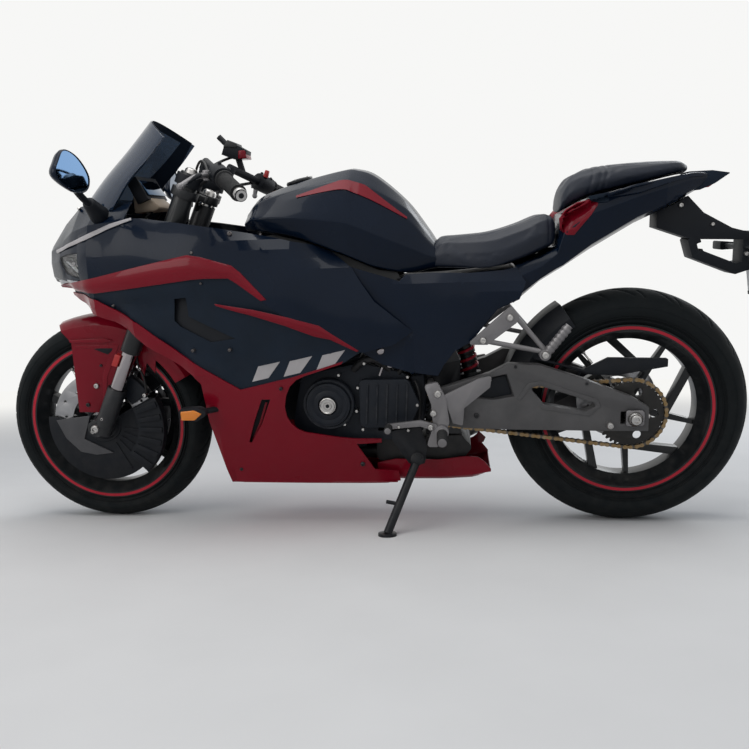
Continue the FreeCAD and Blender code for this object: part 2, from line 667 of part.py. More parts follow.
def frame_covers():
    """The side covers under the tank and seat, which hide the frame's rear half."""
    outline = [(-650, 700), (-596, 682), (-510, 700), (-366, 698), (-306, 712), (-306, 606), (-420, 524),
               (-457, 470), (-500, 436), (-560, 446), (-640, 470), (-686, 520)]
    cover = slab(outline, -COVER_OUTER_Y, -CRANKCASE_HALF)
    pads = [disc(V(x, 0, z), -CRANKCASE_HALF - 1, -SPAR_OUTER_Y - CLEAR, 12.0) for x, z in ((-620, 610), (-505, 510))]
    return pair(fuse_all([cover] + pads))


def frame_spars():
    """Twin spars from the steering head to the swingarm pivot, cut to seat the tank."""
    head_low = on_fork(LOWER_YOKE_AT + LOWER_YOKE_THICK / 2 + 6, 0, YOKE_OFFSET)
    head_high = on_fork(UPPER_YOKE_AT - UPPER_YOKE_THICK / 2 - 6, 0, YOKE_OFFSET)
    head = rod(head_low, head_high, HEAD_R)
    neck = slab([(-1205, 700), (-1150, 815), (-1075, 775), (-1100, 700)], -56, 56)
    bulkhead = slab([(-1126, 700), (-1066, 775), (-1030, 770), (-1070, 692)], -100, 100)
    spar = slab([(-1128, 700), (-1060, 790), (-900, 812), (-730, 756), (-600, 705), (-560, 620), (-470, 540),
                 (-440, 470), (-535, 452), (-600, 520), (-760, 600), (-1040, 680)], -SPAR_OUTER_Y, -76)
    plate = slab([(-535, 480), (-440, 480), (-440, 265), (-535, 265)], -80, -60)
    hanger = slab([(-1096, 705), (-1064, 705), (-1078, 584 + CLEAR), (-1106, 584 + CLEAR)], -98, -86)
    cross = disc(V(PIVOT_X, 0, PIVOT_Z), -101, 101, PIVOT_R)
    whole = fuse_all([spar, plate, hanger, mirrored(spar), mirrored(plate), mirrored(hanger),
                      head, neck, bulkhead, cross])
    whole = whole.cut(rod(head_low - STEER_AXIS, head_high + STEER_AXIS, STEM_R + PIN_CLEAR))
    return whole.cut(body_of(TANK))


def seat_rails():
    """The tubes behind the spars that carry the seats, the tail and the damper's top."""
    rail = bent_tube([V(-590, -88, 592), V(-300, -80, 665), V(-60, -60, 806)], 11.0)
    brace = rod(V(-472, -80, 484), V(-334, -80, 650), 9.0)
    shock_mount = disc(SHOCK_TOP, -80, 80, 11.0)
    seat_mount = disc(V(-150, 0, 753), -200, 200, 8.0).common(tail_space())
    tubes = [rail, mirrored(rail), brace, mirrored(brace), shock_mount, seat_mount]
    return fuse_all(tubes).cut(frame_spars())


def instrument_panel():
    """The display in front of the bars, on the stay that carries the nose."""
    display = slab([(-1290, 900), (-1318, 960), (-1290, 972), (-1260, 912)], -70, 70)
    stay = rod(on_fork(545, 0, YOKE_OFFSET - (STEM_R + HEAD_R) / 2), V(-1305, 0, 835), 8.0)
    bar = disc(V(-1305, 0, 835), -300, 300, 10.0).common(hull(WALL))
    post = slab([(-1311, 835), (-1299, 835), (-1290, 920), (-1302, 920)], -6, 6)
    return fuse_all([display, stay, bar, post]).cut(frame_spars())


# Engine, exhaust and radiator

OUTLET_R = 22.0
EXHAUST_EXIT = (V(-460, 50, 224), V(-392, 126, 232))
DRIVE_AXIS = V(DRIVE_SPROCKET_X, 0, DRIVE_SPROCKET_Z)


def engine_block():
    """Crankcase, sump, the two cylinders that lean forward over it and the drive sprocket in its recess."""
    crankcase = soft_slab([(-890, 300), (-860, 440), (-700, 470), (-580, 440), (-550, 330), (-584, 262),
                           (-830, 262)], -CRANKCASE_HALF, CRANKCASE_HALF, 30)
    recess = box(-660, -500, -200, SPROCKET_Y + 12, 286, 425)
    barrels = soft_slab([(-930, 600), (-820, 640), (-700, 470), (-860, 400)], -76 + CLEAR, 76 - CLEAR, 18)
    sump = slab([(-830, 270), (-690, 270), (-700, 226), (-800, 226)], -70, 70)
    shaft = disc(DRIVE_AXIS, SPROCKET_Y - 4, SPROCKET_Y + 20, 12.0)
    return fuse_all([crankcase.cut(recess), barrels, sump, shaft, drive_sprocket()])


def engine_covers():
    """Round side covers: the generator on the left, the clutch on the right, and the sprocket's cover."""
    centre = V(-786, 0, 366)
    seat = CRANKCASE_HALF + CLEAR
    left = fuse_all([disc(centre, -150, -seat, 68.0), disc(centre, -162, -149, 58.0),
                     disc(centre, -168, -161, 22.0),
                     soft_slab([(-705, 300), (-705, 430), (-575, 430), (-545, 360), (-575, 300)], -146,
                               -seat, 16)])
    clutch = V(-770, 0, 374)
    right = fuse_all([disc(clutch, seat, 152, 76.0), disc(clutch, 151, 164, 56.0)])
    return Part.makeCompound([left, right])


def exhaust():
    """Header pipes, the silencer box under the engine and its outlet on the right."""
    pipes = []
    for y in (-45, 45):
        pipes.append(bent_tube([V(-890, y, 520), V(-985, y, 480), V(-985, y, 225), V(-920, y, 198),
                                V(-655, y * 0.8, 204)], 19.0))
    can = soft_slab([(-670, 188), (-670, 256), (-520, 256), (-440, 260), (-408, 226), (-440, 188)], -78, 78, 14)
    outlet = rod(EXHAUST_EXIT[0], EXHAUST_EXIT[1], OUTLET_R)
    bore = rod(EXHAUST_EXIT[0] + V(14, 14, 0), EXHAUST_EXIT[1] + V(14, 14, 0), OUTLET_R - 3)
    return fuse_all(pipes + [can, outlet]).cut(bore).cut(engine_block())


def radiator():
    core = slab([(-1084, 330), (-1112, 580), (-1080, 584), (-1052, 334)], -128, 128)
    fins = []
    for i in range(14):
        z = 346 + i * 17
        shift = -(z - 330) * 0.112
        fins.append(slab([(-1089 + shift, z), (-1089 + shift, z + 8), (-1080 + shift, z + 8), (-1080 + shift, z)],
                         -118, 118))
    return fuse_all([core] + fins)


# Rear end

ARM = [(-500, 400), (-366, 440), (-317, 465), (-239, 461), (-125, 422), (-5, 374), (36, 348), (36, 286),
       (-92, 287), (-329, 292), (-428, 296), (-500, 306)]
ARM_WINDOW = [(-263, 402), (-240, 408), (-100, 362), (-97, 352), (-123, 337), (-228, 357)]
ARM_POCKET = [(-366, 430), (-322, 440), (-302, 380), (-354, 371), (-440, 380)]


def swingarm():
    """Two deep arms joined behind the pivot, windowed, with slots for the axle's adjusters."""
    outer = -ARM_INNER_Y - ARM_THICK
    arm = slab(ARM, outer, -ARM_INNER_Y)
    arm = arm.cut(soft_slab(ARM_WINDOW, outer - 1, -ARM_INNER_Y + 1, 7))
    arm = arm.cut(slab(ARM_POCKET, outer - 1, outer + 16))
    slot_low, slot_high = REAR_AXLE.z - BLOCK_HALF - CLEAR, REAR_AXLE.z + BLOCK_HALF + CLEAR
    slot = [(-34, slot_high), (24, slot_high), (24, slot_low), (-34, slot_low)]
    arm = arm.cut(soft_slab(slot, outer - 1, -ARM_INNER_Y + 1, 3))
    bridge = slab([(-430, 312), (-430, 372), (-372, 374), (-372, 316)], -ARM_INNER_Y - 2, ARM_INNER_Y + 2)
    boss = disc(V(PIVOT_X, 0, PIVOT_Z), -ARM_INNER_Y - ARM_THICK, ARM_INNER_Y + ARM_THICK, 30.0)
    boss = boss.cut(disc(V(PIVOT_X, 0, PIVOT_Z), -ARM_INNER_Y, ARM_INNER_Y, 31.0))
    spool_at = V(SPOOL_X, 0, SPOOL_Z)
    spool = fuse_all([disc(spool_at, outer - 2, outer + 1, SPOOL_R + 4),
                      disc(spool_at, outer - 2 - SPOOL_LENGTH, outer, SPOOL_R)])
    whole = fuse_all([arm, mirrored(arm), bridge, boss, spool, mirrored(spool)])
    return whole.cut(disc(V(PIVOT_X, 0, PIVOT_Z), -ARM_INNER_Y - 10, ARM_INNER_Y + 10, PIVOT_R + CLEAR))


def rear_axle():
    """The axle with its spacers, its nuts and the square adjuster blocks that slide in the arms."""
    outer = ARM_INNER_Y + ARM_THICK
    parts = [disc(REAR_AXLE, -outer - 18, outer + 18, AXLE_R)]
    for side in (-1, 1):
        y0, y1 = sorted((side * (ARM_INNER_Y - 2), side * (outer + 6)))
        parts.append(box(-15, 19, y0, y1, REAR_AXLE.z - BLOCK_HALF, REAR_AXLE.z + BLOCK_HALF))
        y0, y1 = sorted((side * (outer + 5), side * (outer + 16)))
        parts.append(disc(REAR_AXLE, y0, y1, 14.0))
    return fuse_all(parts)


def chain_loop():
    """The drive chain's fixed loop of side plates and rollers round both sprockets."""
    rear_r = REAR_SPROCKET_R + RUN_CLEAR
    front_r = DRIVE_SPROCKET_R + CLEAR

    def loop(grow, y0, y1):
        a, b = REAR_AXLE, DRIVE_AXIS
        ra, rb = rear_r + grow, front_r + grow
        gap = b - a
        far = math.hypot(gap.x, gap.z)
        base = math.atan2(gap.z, gap.x)
        open_by = math.acos((ra - rb) / far)
        tang = []
        for sign in (1, -1):
            direction = V(math.cos(base + sign * open_by), 0, math.sin(base + sign * open_by))
            tang.append((a + direction * ra, b + direction * rb))
        back = a + V(-math.cos(base), 0, -math.sin(base)) * ra
        nose = b + V(math.cos(base), 0, math.sin(base)) * rb
        edges = [Part.Arc(tang[0][0], back, tang[1][0]).toShape(),
                 Part.makeLine(tang[1][0], tang[1][1]),
                 Part.Arc(tang[1][1], nose, tang[0][1]).toShape(),
                 Part.makeLine(tang[0][1], tang[0][0])]
        face = Part.Face(Part.Wire(edges))
        return face.extrude(V(0, y1 - y0, 0)).translate(V(0, y0, 0))

    half = CHAIN_WIDTH / 2
    return loop(CHAIN_HEIGHT, SPROCKET_Y - half, SPROCKET_Y + half).cut(
        loop(0, SPROCKET_Y - half - 1, SPROCKET_Y + half + 1))


def drive_sprocket():
    return sprocket(DRIVE_AXIS, DRIVE_SPROCKET_R, 15, SPROCKET_Y - 4, SPROCKET_Y + 4, 8.0)


def rear_hugger():
    """The mudguard over the front of the rear tyre, with the chain's guard along its left."""
    inner, half = REAR_TYRE_R + 12, -SPROCKET_Y - CHAIN_WIDTH / 2 - CLEAR
    crown = [(-half, 270), (-half, 296), (-0.6 * half, inner + WALL), (0.6 * half, inner + WALL), (half, 296),
             (half, 270), (half - THIN_WALL, 270), (half - THIN_WALL, 294), (0.57 * half, inner), (-0.57 * half, inner),
             (-half + THIN_WALL, 294), (-half + THIN_WALL, 270)]
    points = [REAR_AXLE + V(0, y, r) for y, r in crown]
    profile = Part.Face(Part.makePolygon(points + points[:1]))
    profile.rotate(REAR_AXLE, ACROSS, -82)
    shell = profile.revolve(REAR_AXLE, ACROSS, 50)
    guard = slab([(-250, 474), (-120, 440), (-60, 470), (88, 466), (88, 446), (-40, 425), (-110, 428)],
                 -102, -98)
    top = slab([(-250, 474), (-120, 440), (-60, 470), (88, 466), (88, 462), (-58, 466), (-120, 435), (-250, 470)],
               -102, -half + THIN_WALL)
    return fuse_all([shell, guard, top])


def rear_caliper():
    """A caliper ahead of the axle on a lug against the right arm."""
    body = caliper(REAR_AXLE, REAR_DISC_Y, REAR_DISC_R, 1, 132, 172, 9)
    lug = box(-112, -74, REAR_DISC_Y + 12, ARM_INNER_Y - CLEAR, 332, 372)
    return fuse_all([body, lug])


def shock_absorber():
    """A single damper in its coil, between the rails' cross tube and the swingarm's bridge."""
    low, high = V(-401, 0, 366), SHOCK_TOP - V(-1, 0, 6)
    run = (high - low).normalize()
    parts = [rod(low, high, 12.0), rod(low + run * 44, low + run * 52, 30.0),
             rod(high - run * 36, high - run * 28, 30.0), rod(low + run * 44, high - run * 28, 18.5)]
    turns = 7
    span = (high - low).Length - 88
    for i in range(turns):
        at = low + run * (54 + (i + 0.25) * span / turns)
        parts.append(rod(at, at + run * 9, 26.0))
    return fuse_all(parts).cut(swingarm()).cut(disc(SHOCK_TOP, -80, 80, 11.0 + CLEAR))


def tail_lamp():
    return box(150, 198, -40, 40, 880, 904)


def plate_bracket():
    """The arm under the tail that holds the number plate and the rear indicators."""
    arm = slab([(62, 796), (62, 850), (130, 880), (177, 830), (248, 790), (318.5, 770), (318.5, 758), (150, 764)],
               -36, 36)
    loop = soft_slab([(140, 766), (155, 716), (262, 672), (318, 690), (318, 712), (262, 700), (180, 734),
                      (172, 766)], -36, 36, 6)
    loop = loop.cut(soft_slab([(164, 752), (170, 730), (182, 742), (176, 756)], -40, 40, 3))
    lamp = rod(V(286, -36, 740), V(286, -110, 740), 6.0)
    pod = soft_slab([(270, 728), (270, 752), (310, 748), (318, 738), (308, 730)], -170, -108, 5)
    mast = slab([(278, 768), (278, 700), (294, 700), (294, 768)], -36, 36)
    return fuse_all([arm, loop, mast, lamp, mirrored(lamp), pod, mirrored(pod)]).cut(body_of(TAIL))


def number_plate():
    return slab([(318, 776), (322, 776), (346, 610), (342, 610)], -85, 85)


def front_indicators():
    pod = soft_slab([(-1168, 352), (-1162, 376), (-1112, 378), (-1094, 368), (-1094, 358), (-1120, 342)],
                    -232, -206, 7)
    stalk = rod(V(-1112, -216, 364), V(-1066, -170, 364), 8.0)
    return pair(fuse_all([pod, stalk]).cut(hull(0)))


def rider_footrests():
    """Cast hangers with heel guards, folding pegs, and the left side's gear lever."""
    hanger = soft_slab([(-534, 420), (-500, 428), (-478, 385), (-470, 320), (-500, 256), (-530, 256),
                        (-512, 310), (-516, 370)], -176, -162, 8)
    mounts = [disc(V(-519, 0, 412), -163, -80, 8.0), disc(V(-516, 0, 275), -163, -80, 7.0)]
    guard = soft_slab([(-484, 392), (-397, 434), (-362, 440), (-366, 412), (-432, 358), (-436, 312),
                       (-461, 318)], -172, -164, 4)
    peg = rod(V(-490, -170, 300), V(-488, -262, 292), 11.0)
    hub = disc(V(-490, 0, 300), -196, -160, 18.0)
    lever = soft_slab([(-632, 306), (-632, 320), (-545, 330), (-500, 318), (-500, 300), (-545, 314)], -186, -178, 5)
    toe = rod(V(-626, -180, 313), V(-626, -226, 313), 8.0)
    arm = fuse_all([hanger, guard, peg, hub] + mounts)
    left = fuse_all([arm, lever, toe])
    pedal = soft_slab([(-650, 286), (-640, 300), (-545, 306), (-500, 312), (-500, 298), (-550, 292)], 178, 188, 5)
    pad = rod(V(-640, 182, 293), V(-640, 226, 293), 9.0)
    return Part.makeCompound([left, fuse_all([mirrored(arm), pedal, pad])])


def pillion_footrests():
    """Open triangular hangers with their pegs folded up."""
    outer, inner = -COVER_OUTER_Y - 14, -COVER_OUTER_Y - CLEAR
    foot = soft_slab([(-424, 521), (-312, 618), (-292, 592), (-300, 574), (-372, 520)], outer, inner, 5)
    middle = (outer + inner) / 2
    upper = rod(V(-300, middle, 588), V(-226, middle, 500), 6.5)
    lower = rod(V(-381, middle, 530), V(-226, middle, 498), 6.5)
    peg = rod(V(-232, middle - 10, 490), V(-172, middle - 14, 566), 10.0)
    joint = disc(V(-230, 0, 494), middle - 20, middle + 8, 14.0)
    return pair(fuse_all([foot, upper, lower, peg, joint]))


# Side stand

def stand_bracket():
    """The plate on the crankcase's lower corner, with the boss and pin that the stand turns on."""
    x, y, z = STAND_PIVOT
    pivot, half = V(x, y, z), STAND_EYE / 2
    outer = y + half + 7
    plate = soft_slab([(x - 66, z + 48), (x - 66, z + 74), (x + 10, z + 84), (x + 26, z + 30), (x + 20, z - 18),
                       (x - 22, z - 18)], outer, -CRANKCASE_HALF - CLEAR, 8)
    boss = rod(pivot - STAND_AXIS * (half + 1), pivot - STAND_AXIS * (half + 18), 14.0)
    pin = rod(pivot - STAND_AXIS * (half + 4), pivot + STAND_AXIS * (half + 5), STAND_PIN_R)
    head = rod(pivot + STAND_AXIS * (half + 1), pivot + STAND_AXIS * (half + 6), STAND_PIN_R + 5)
    return fuse_all([plate, boss, pin, head])


def stand_foot():
    """Where the foot's sole meets the ground once the bike leans."""
    x, y = STAND_FOOT
    return V(x, y, -y * LEAN_SIN / LEAN_COS)


def side_stand():
    """A leg from its pivot down, forward and out to a flat foot."""
    pivot, foot = V(*STAND_PIVOT), stand_foot()
    up = V(0, LEAN_SIN, LEAN_COS)
    eye_face = STAND_AXIS * (STAND_EYE / 2)
    sole = rod(foot, foot + up * 7, 24.0)
    eye = rod(pivot - eye_face, pivot + eye_face, STAND_EYE_R)
    down = (foot - pivot).normalize()
    leg = rod(pivot + down * (STAND_EYE_R - 2), foot + up * 6, STAND_R)
    tang = rod(pivot + down * 128, pivot + down * 128 + V(-34, -8, 10), 5.0)
    hole = rod(pivot - eye_face * 3, pivot + eye_face * 3, STAND_PIN_R + PIN_CLEAR)
    return fuse_all([eye, leg, sole, tang]).cut(hole)


def all_pieces():
    wall = hull_wall()
    front_disc = brake_disc(FRONT_AXLE, -FRONT_DISC_Y, FRONT_DISC_R, 96.0, FRONT_HUB_HALF, 18)
    return {
        "front_tyre": tyre(FRONT_AXLE, FRONT_TYRE_R, FRONT_CROWN_R, FRONT_TYRE_HALF, FRONT_RIM_HALF),
        "front_rim": rim(FRONT_AXLE, FRONT_RIM_HALF, FRONT_HUB_HALF - CLEAR, -37.0, 70.0, 20.0),
        "front_discs": pair(front_disc),
        "rear_tyre": tyre(REAR_AXLE, REAR_TYRE_R, REAR_CROWN_R, REAR_TYRE_HALF, REAR_RIM_HALF),
        "rear_rim": rim(REAR_AXLE, REAR_RIM_HALF, REAR_HUB_HALF - CLEAR, -14.0, 110.0, -45.0),
        "rear_disc": brake_disc(REAR_AXLE, REAR_DISC_Y, REAR_DISC_R, 64.0, REAR_HUB_HALF, 12),
        "rear_sprocket": sprocket(REAR_AXLE, REAR_SPROCKET_R, TEETH, SPROCKET_Y - 4, SPROCKET_Y + 4, 22.0).fuse(
            disc(REAR_AXLE, SPROCKET_Y + 4, -REAR_HUB_HALF, 46.0).cut(disc(REAR_AXLE, -200, 200, 22.0))),
        "fork_tubes": fork_tubes(),
        "fork_stanchions": fork_leg_piece(46, TUBE_BOTTOM + 59, STANCHION_R),
        "fork_feet": fork_feet(),
        "steering_yokes": steering_yokes(),
        "handlebars": handlebars(),
        "front_fender": front_fender(),
        "brake_covers": brake_covers(),
        "front_calipers": front_calipers(),
        "front_axle": front_axle(),
        "nose_cowl": nose_cowl(wall),
        "headlamps": headlamps(),
        "side_fairings": pair(side_fairing(wall)),
        "lower_fairings": lower_fairings(wall),
        "windscreen": windscreen(),
        "mirrors": mirrors(),
        "fuel_tank": body_of(TANK),
        "rider_seat": seat_of(RIDER_SEAT),
        "pillion_seat": seat_of(PILLION_SEAT),
        "tail_cowl": tail_cowl(),
        "frame_covers": frame_covers(),
        "frame_spars": frame_spars(),
        "seat_rails": seat_rails(),
        "engine_block": engine_block(),
        "engine_covers": engine_covers(),
        "exhaust": exhaust(),
        "radiator": radiator(),
        "instrument_panel": instrument_panel(),
        "swingarm": swingarm(),
        "rear_axle": rear_axle(),
        "chain_loop": chain_loop(),
        "rear_hugger": rear_hugger(),
        "rear_caliper": rear_caliper(),
        "shock_absorber": shock_absorber(),
        "tail_lamp": tail_lamp(),
        "plate_bracket": plate_bracket(),
        "number_plate": number_plate(),
        "front_indicators": front_indicators(),
        "rider_footrests": rider_footrests(),
        "pillion_footrests": pillion_footrests(),
        "stand_bracket": stand_bracket(),
        "side_stand": side_stand(),
    }


def placement_for(pieces):
    """Leans the upright bike to its left about the ground line and centres it over the origin."""
    lean = FreeCAD.Rotation(V(1, 0, 0), LEAN)
    turn = FreeCAD.Placement(V(0, 0, 0), lean).toMatrix()
    boxes = [pieces[name].transformed(turn).optimalBoundingBox(False) for name in OUTERMOST]
    middle_x = (min(b.XMin for b in boxes) + max(b.XMax for b in boxes)) / 2
    middle_y = (min(b.YMin for b in boxes) + max(b.YMax for b in boxes)) / 2
    return FreeCAD.Placement(V(-middle_x, -middle_y, 0), lean)


OUTERMOST = ["front_tyre", "rear_tyre", "mirrors", "number_plate", "handlebars"]


def main():
    os.makedirs("parts", exist_ok=True)
    pieces = all_pieces()
    place = placement_for(pieces)
    for name, shape in pieces.items():
        shape.transformed(place.toMatrix()).exportStep(f"parts/{name}.step")


if __name__ == "__main__":
    main()
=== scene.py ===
# %% [markdown]
# # A sport bike in full bodywork
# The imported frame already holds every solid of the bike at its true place: wheels, fork, engine,
# tank and panels. This lesson dresses it. Some solids stay and only get a better finish, and others
# are hidden and replaced by pieces that are modelled here with thinner edges and softer curves.

# %% Load the frame and measure it
import bpy
import json
import math
from mathutils import Matrix, Vector

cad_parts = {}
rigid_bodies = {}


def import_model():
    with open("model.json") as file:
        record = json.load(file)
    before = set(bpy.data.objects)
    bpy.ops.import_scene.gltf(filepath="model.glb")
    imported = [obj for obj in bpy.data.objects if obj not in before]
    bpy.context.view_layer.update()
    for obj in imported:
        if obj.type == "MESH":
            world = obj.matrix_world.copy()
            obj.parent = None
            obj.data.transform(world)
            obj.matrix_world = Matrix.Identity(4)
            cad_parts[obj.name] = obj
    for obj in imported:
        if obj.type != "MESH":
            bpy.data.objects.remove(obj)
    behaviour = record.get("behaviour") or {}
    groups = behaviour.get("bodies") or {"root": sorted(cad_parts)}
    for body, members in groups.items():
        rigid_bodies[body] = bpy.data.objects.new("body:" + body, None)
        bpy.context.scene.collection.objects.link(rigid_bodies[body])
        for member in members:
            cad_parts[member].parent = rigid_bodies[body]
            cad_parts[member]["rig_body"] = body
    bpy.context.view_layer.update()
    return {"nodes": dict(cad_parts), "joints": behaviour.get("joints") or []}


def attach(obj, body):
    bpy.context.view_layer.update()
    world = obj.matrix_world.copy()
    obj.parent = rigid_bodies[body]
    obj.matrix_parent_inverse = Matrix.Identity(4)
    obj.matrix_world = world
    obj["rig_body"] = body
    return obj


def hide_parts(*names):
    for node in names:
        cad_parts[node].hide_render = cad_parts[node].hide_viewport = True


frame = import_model()
nodes = frame["nodes"]

# %% [markdown]
# The bike leans on its side stand, which makes it awkward to model in place. So each piece is built
# for an upright bike, in millimetres from the point under the rear axle, and `PARK` then leans it
# over and moves it into the frame. The rear wheel's joint says where that axle is in the frame.

# %% From the upright bike to the parked one
MM = 0.001
LEAN = math.radians(9.4)
REAR_AXLE = Vector((0, 0, 321.2)) * MM
FRONT_AXLE = Vector((-1450, 0, 293.83)) * MM
rear_joint = next(j for j in frame["joints"] if j["child"] == "rear_wheel")
axle_now = Vector(rear_joint["pos_m"])
lean_turn = Matrix.Rotation(LEAN, 4, "X")
PARK = Matrix.Translation(axle_now - lean_turn @ REAR_AXLE) @ lean_turn
UPRIGHT = PARK.inverted()
print("the rear axle is at", [round(v, 4) for v in axle_now])

# %% [markdown]
# The camera stands where the photographer stood: on the bike's left, a little behind its middle,
# at the height of the lower edge of the tank, level except for a small tilt.

# %% The camera
camera_data = bpy.data.cameras.new("camera")
camera_data.sensor_width = 36.0
camera_data.lens = 36.36
camera = bpy.data.objects.new("camera", camera_data)
bpy.context.scene.collection.objects.link(camera)
look = (Matrix.Rotation(math.radians(5.887), 4, "Z") @ Matrix.Rotation(math.radians(-2.008), 4, "X")
        @ Matrix.Rotation(math.radians(0.903), 4, "Y") @ Matrix.Rotation(math.radians(90), 4, "X"))
ground_shift = Vector((PARK.translation.x, PARK.translation.y, 0))
camera.matrix_world = Matrix.Translation(ground_shift + Vector((-0.4608, -2.1744, 0.4831))) @ look
bpy.context.scene.camera = camera
print("camera at", [round(v, 3) for v in camera.matrix_world.translation])

# %% [markdown]
# The studio is a pale floor and a pale surround. The surround looks white to the camera, to mirror
# reflections and through glass, but it lights the bike only softly. Three large lamps do the rest:
# a broad one above, one from the camera's side and a weak one from behind that draws the edges.

# %% Floor, surround and lamps
def node_of(tree, kind, inputs=None, **settings):
    """Add a shader node, set its options and fill its inputs with values or links."""
    node = tree.nodes.new("ShaderNode" + kind)
    for key, value in settings.items():
        setattr(node, key, value)
    for key, value in (inputs or {}).items():
        if isinstance(value, bpy.types.NodeSocket):
            tree.links.new(value, node.inputs[key])
        else:
            node.inputs[key].default_value = value
    return node


def maths(tree, operation, a, b, clamp=False):
    """The result of a sum of two values or sockets."""
    return node_of(tree, "Math", {0: a, 1: b}, operation=operation, use_clamp=clamp).outputs[0]


bpy.context.scene.view_settings.view_transform = "Standard"
world = bpy.data.worlds.new("surround")
bpy.context.scene.world = world
world.use_nodes = True
air = world.node_tree
air.nodes.clear()
sky = node_of(air, "Background", {"Color": (0.60, 0.65, 0.74, 1), "Strength": 0.5})
pale = node_of(air, "Background", {"Color": (0.93, 0.93, 0.92, 1), "Strength": 1.0})
rays = node_of(air, "LightPath")
seen = maths(air, "MAXIMUM", rays.outputs["Is Camera Ray"], rays.outputs["Is Transmission Ray"])
seen = maths(air, "MAXIMUM", seen, rays.outputs["Is Glossy Ray"])
mix = node_of(air, "MixShader", {"Fac": seen, 1: sky.outputs[0], 2: pale.outputs[0]})
node_of(air, "OutputWorld", {"Surface": mix.outputs[0]})

LAMPS = [
    ("lamp_above", (-0.3, -0.6, 3.4), (0, 0, 0.4), 3.0, 62, (1, 1, 1)),
    ("lamp_left", (-2.6, -3.0, 2.0), (0, 0, 0.5), 2.2, 40, (1.0, 0.98, 0.95)),
    ("lamp_right_behind", (2.4, 2.6, 2.2), (0, 0, 0.6), 2.0, 34, (0.92, 0.96, 1.0)),
]
for name, place, aim, size, power, colour in LAMPS:
    light = bpy.data.lights.new(name, "AREA")
    light.size, light.energy, light.color = size, power, colour
    lamp = bpy.data.objects.new(name, light)
    bpy.context.scene.collection.objects.link(lamp)
    turn = (Vector(aim) - Vector(place)).to_track_quat("-Z", "Y")
    lamp.matrix_world = Matrix.Translation(Vector(place)) @ turn.to_matrix().to_4x4()
print("three lamps and a surround")

# %% [markdown]
# Every new piece goes through the same few steps, so they are helpers. `fresh` deselects all before
# a primitive is added, because operators act on everything that is selected. `finish_piece` applies
# the transforms, leans the mesh into the frame, turns its faces outwards and hangs it on its body.

# %% Helpers for the pieces
def fresh():
    """Leave edit mode and deselect everything."""
    if bpy.context.object and bpy.context.object.mode != "OBJECT":
        bpy.ops.object.mode_set(mode="OBJECT")
    bpy.ops.object.select_all(action="DESELECT")


def only(piece):
    """Select one piece and make it active."""
    fresh()
    piece.select_set(True)
    bpy.context.view_layer.objects.active = piece
    return piece


def named(name):
    """Name the piece that was just made."""
    piece = bpy.context.object
    piece.name = name
    piece.data.name = name
    return piece


def modify(piece, kind, **values):
    """Add a modifier, set its values and apply it."""
    only(piece)
    modifier = piece.modifiers.new(kind.lower(), kind)
    for key, value in values.items():
        setattr(modifier, key, value)
    bpy.ops.object.modifier_apply(modifier=modifier.name)
    return piece


def bevelled(piece, width, segments=2, angle=35):
    """Round the edges that are sharper than an angle, by a width in millimetres."""
    return modify(piece, "BEVEL", width=width * MM, segments=segments, limit_method="ANGLE",
                  angle_limit=math.radians(angle), harden_normals=False)


def both_sides(piece):
    """Mirror across the bike's middle plane."""
    return modify(piece, "MIRROR", use_axis=(False, True, False), use_clip=True, merge_threshold=0.0004)


def faces_out(piece):
    """Merge doubled points and turn all faces outwards."""
    only(piece)
    bpy.ops.object.mode_set(mode="EDIT")
    bpy.ops.mesh.select_all(action="SELECT")
    bpy.ops.mesh.remove_doubles(threshold=0.00005)
    bpy.ops.mesh.normals_make_consistent(inside=False)
    bpy.ops.object.mode_set(mode="OBJECT")


def copy_of(name, mesh):
    """A new object with its own copy of a mesh."""
    piece = bpy.data.objects.new(name, mesh.copy())
    bpy.context.scene.collection.objects.link(piece)
    return piece


def painted(piece, material, angle):
    """One material all over, and smooth shading up to an angle."""
    only(piece)
    bpy.ops.object.shade_smooth_by_angle(angle=math.radians(angle))
    piece.data.materials.clear()
    piece.data.materials.append(material)


def finish_piece(piece, material, stands_for=(), body="chassis", angle=35, tidy=True):
    """Lean a piece into the frame, smooth it and hang it on its body."""
    only(piece)
    bpy.ops.object.transform_apply(location=True, rotation=True, scale=True)
    if tidy:
        faces_out(piece)
    piece.data.transform(PARK)
    piece.data.update()
    painted(piece, material, angle)
    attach(piece, body)
    if stands_for:
        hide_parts(*stands_for)
    print(piece.name, len(piece.data.polygons), "faces")
    return piece


def recast(node, material, width=1.2, angle=35, segments=2):
    """A copy of a CAD solid with rounded edges and a better finish, which stands for it."""
    piece = copy_of(node + "_cast", nodes[node].data)
    only(piece)
    bpy.ops.mesh.customdata_custom_splitnormals_clear()
    bpy.ops.object.mode_set(mode="EDIT")
    bpy.ops.mesh.select_all(action="SELECT")
    bpy.ops.mesh.remove_doubles(threshold=0.00002)
    bpy.ops.mesh.dissolve_limited(angle_limit=math.radians(0.8))
    bpy.ops.object.mode_set(mode="OBJECT")
    bevelled(piece, width, segments, angle)
    painted(piece, material, angle)
    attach(piece, nodes[node]["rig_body"])
    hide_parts(node)
    return piece


def join(pieces, name):
    """Make one object of several."""
    fresh()
    for piece in pieces:
        piece.select_set(True)
    bpy.context.view_layer.objects.active = pieces[0]
    if len(pieces) > 1:
        bpy.ops.object.join()
    return named(name)


def with_twin(piece):
    """The piece and its mirror image on the other side, as one object."""
    twin = copy_of(piece.name + "_twin", piece.data)
    twin.data.transform(Matrix.Scale(-1, 4, (0, 1, 0)))
    return join([piece, twin], piece.name)


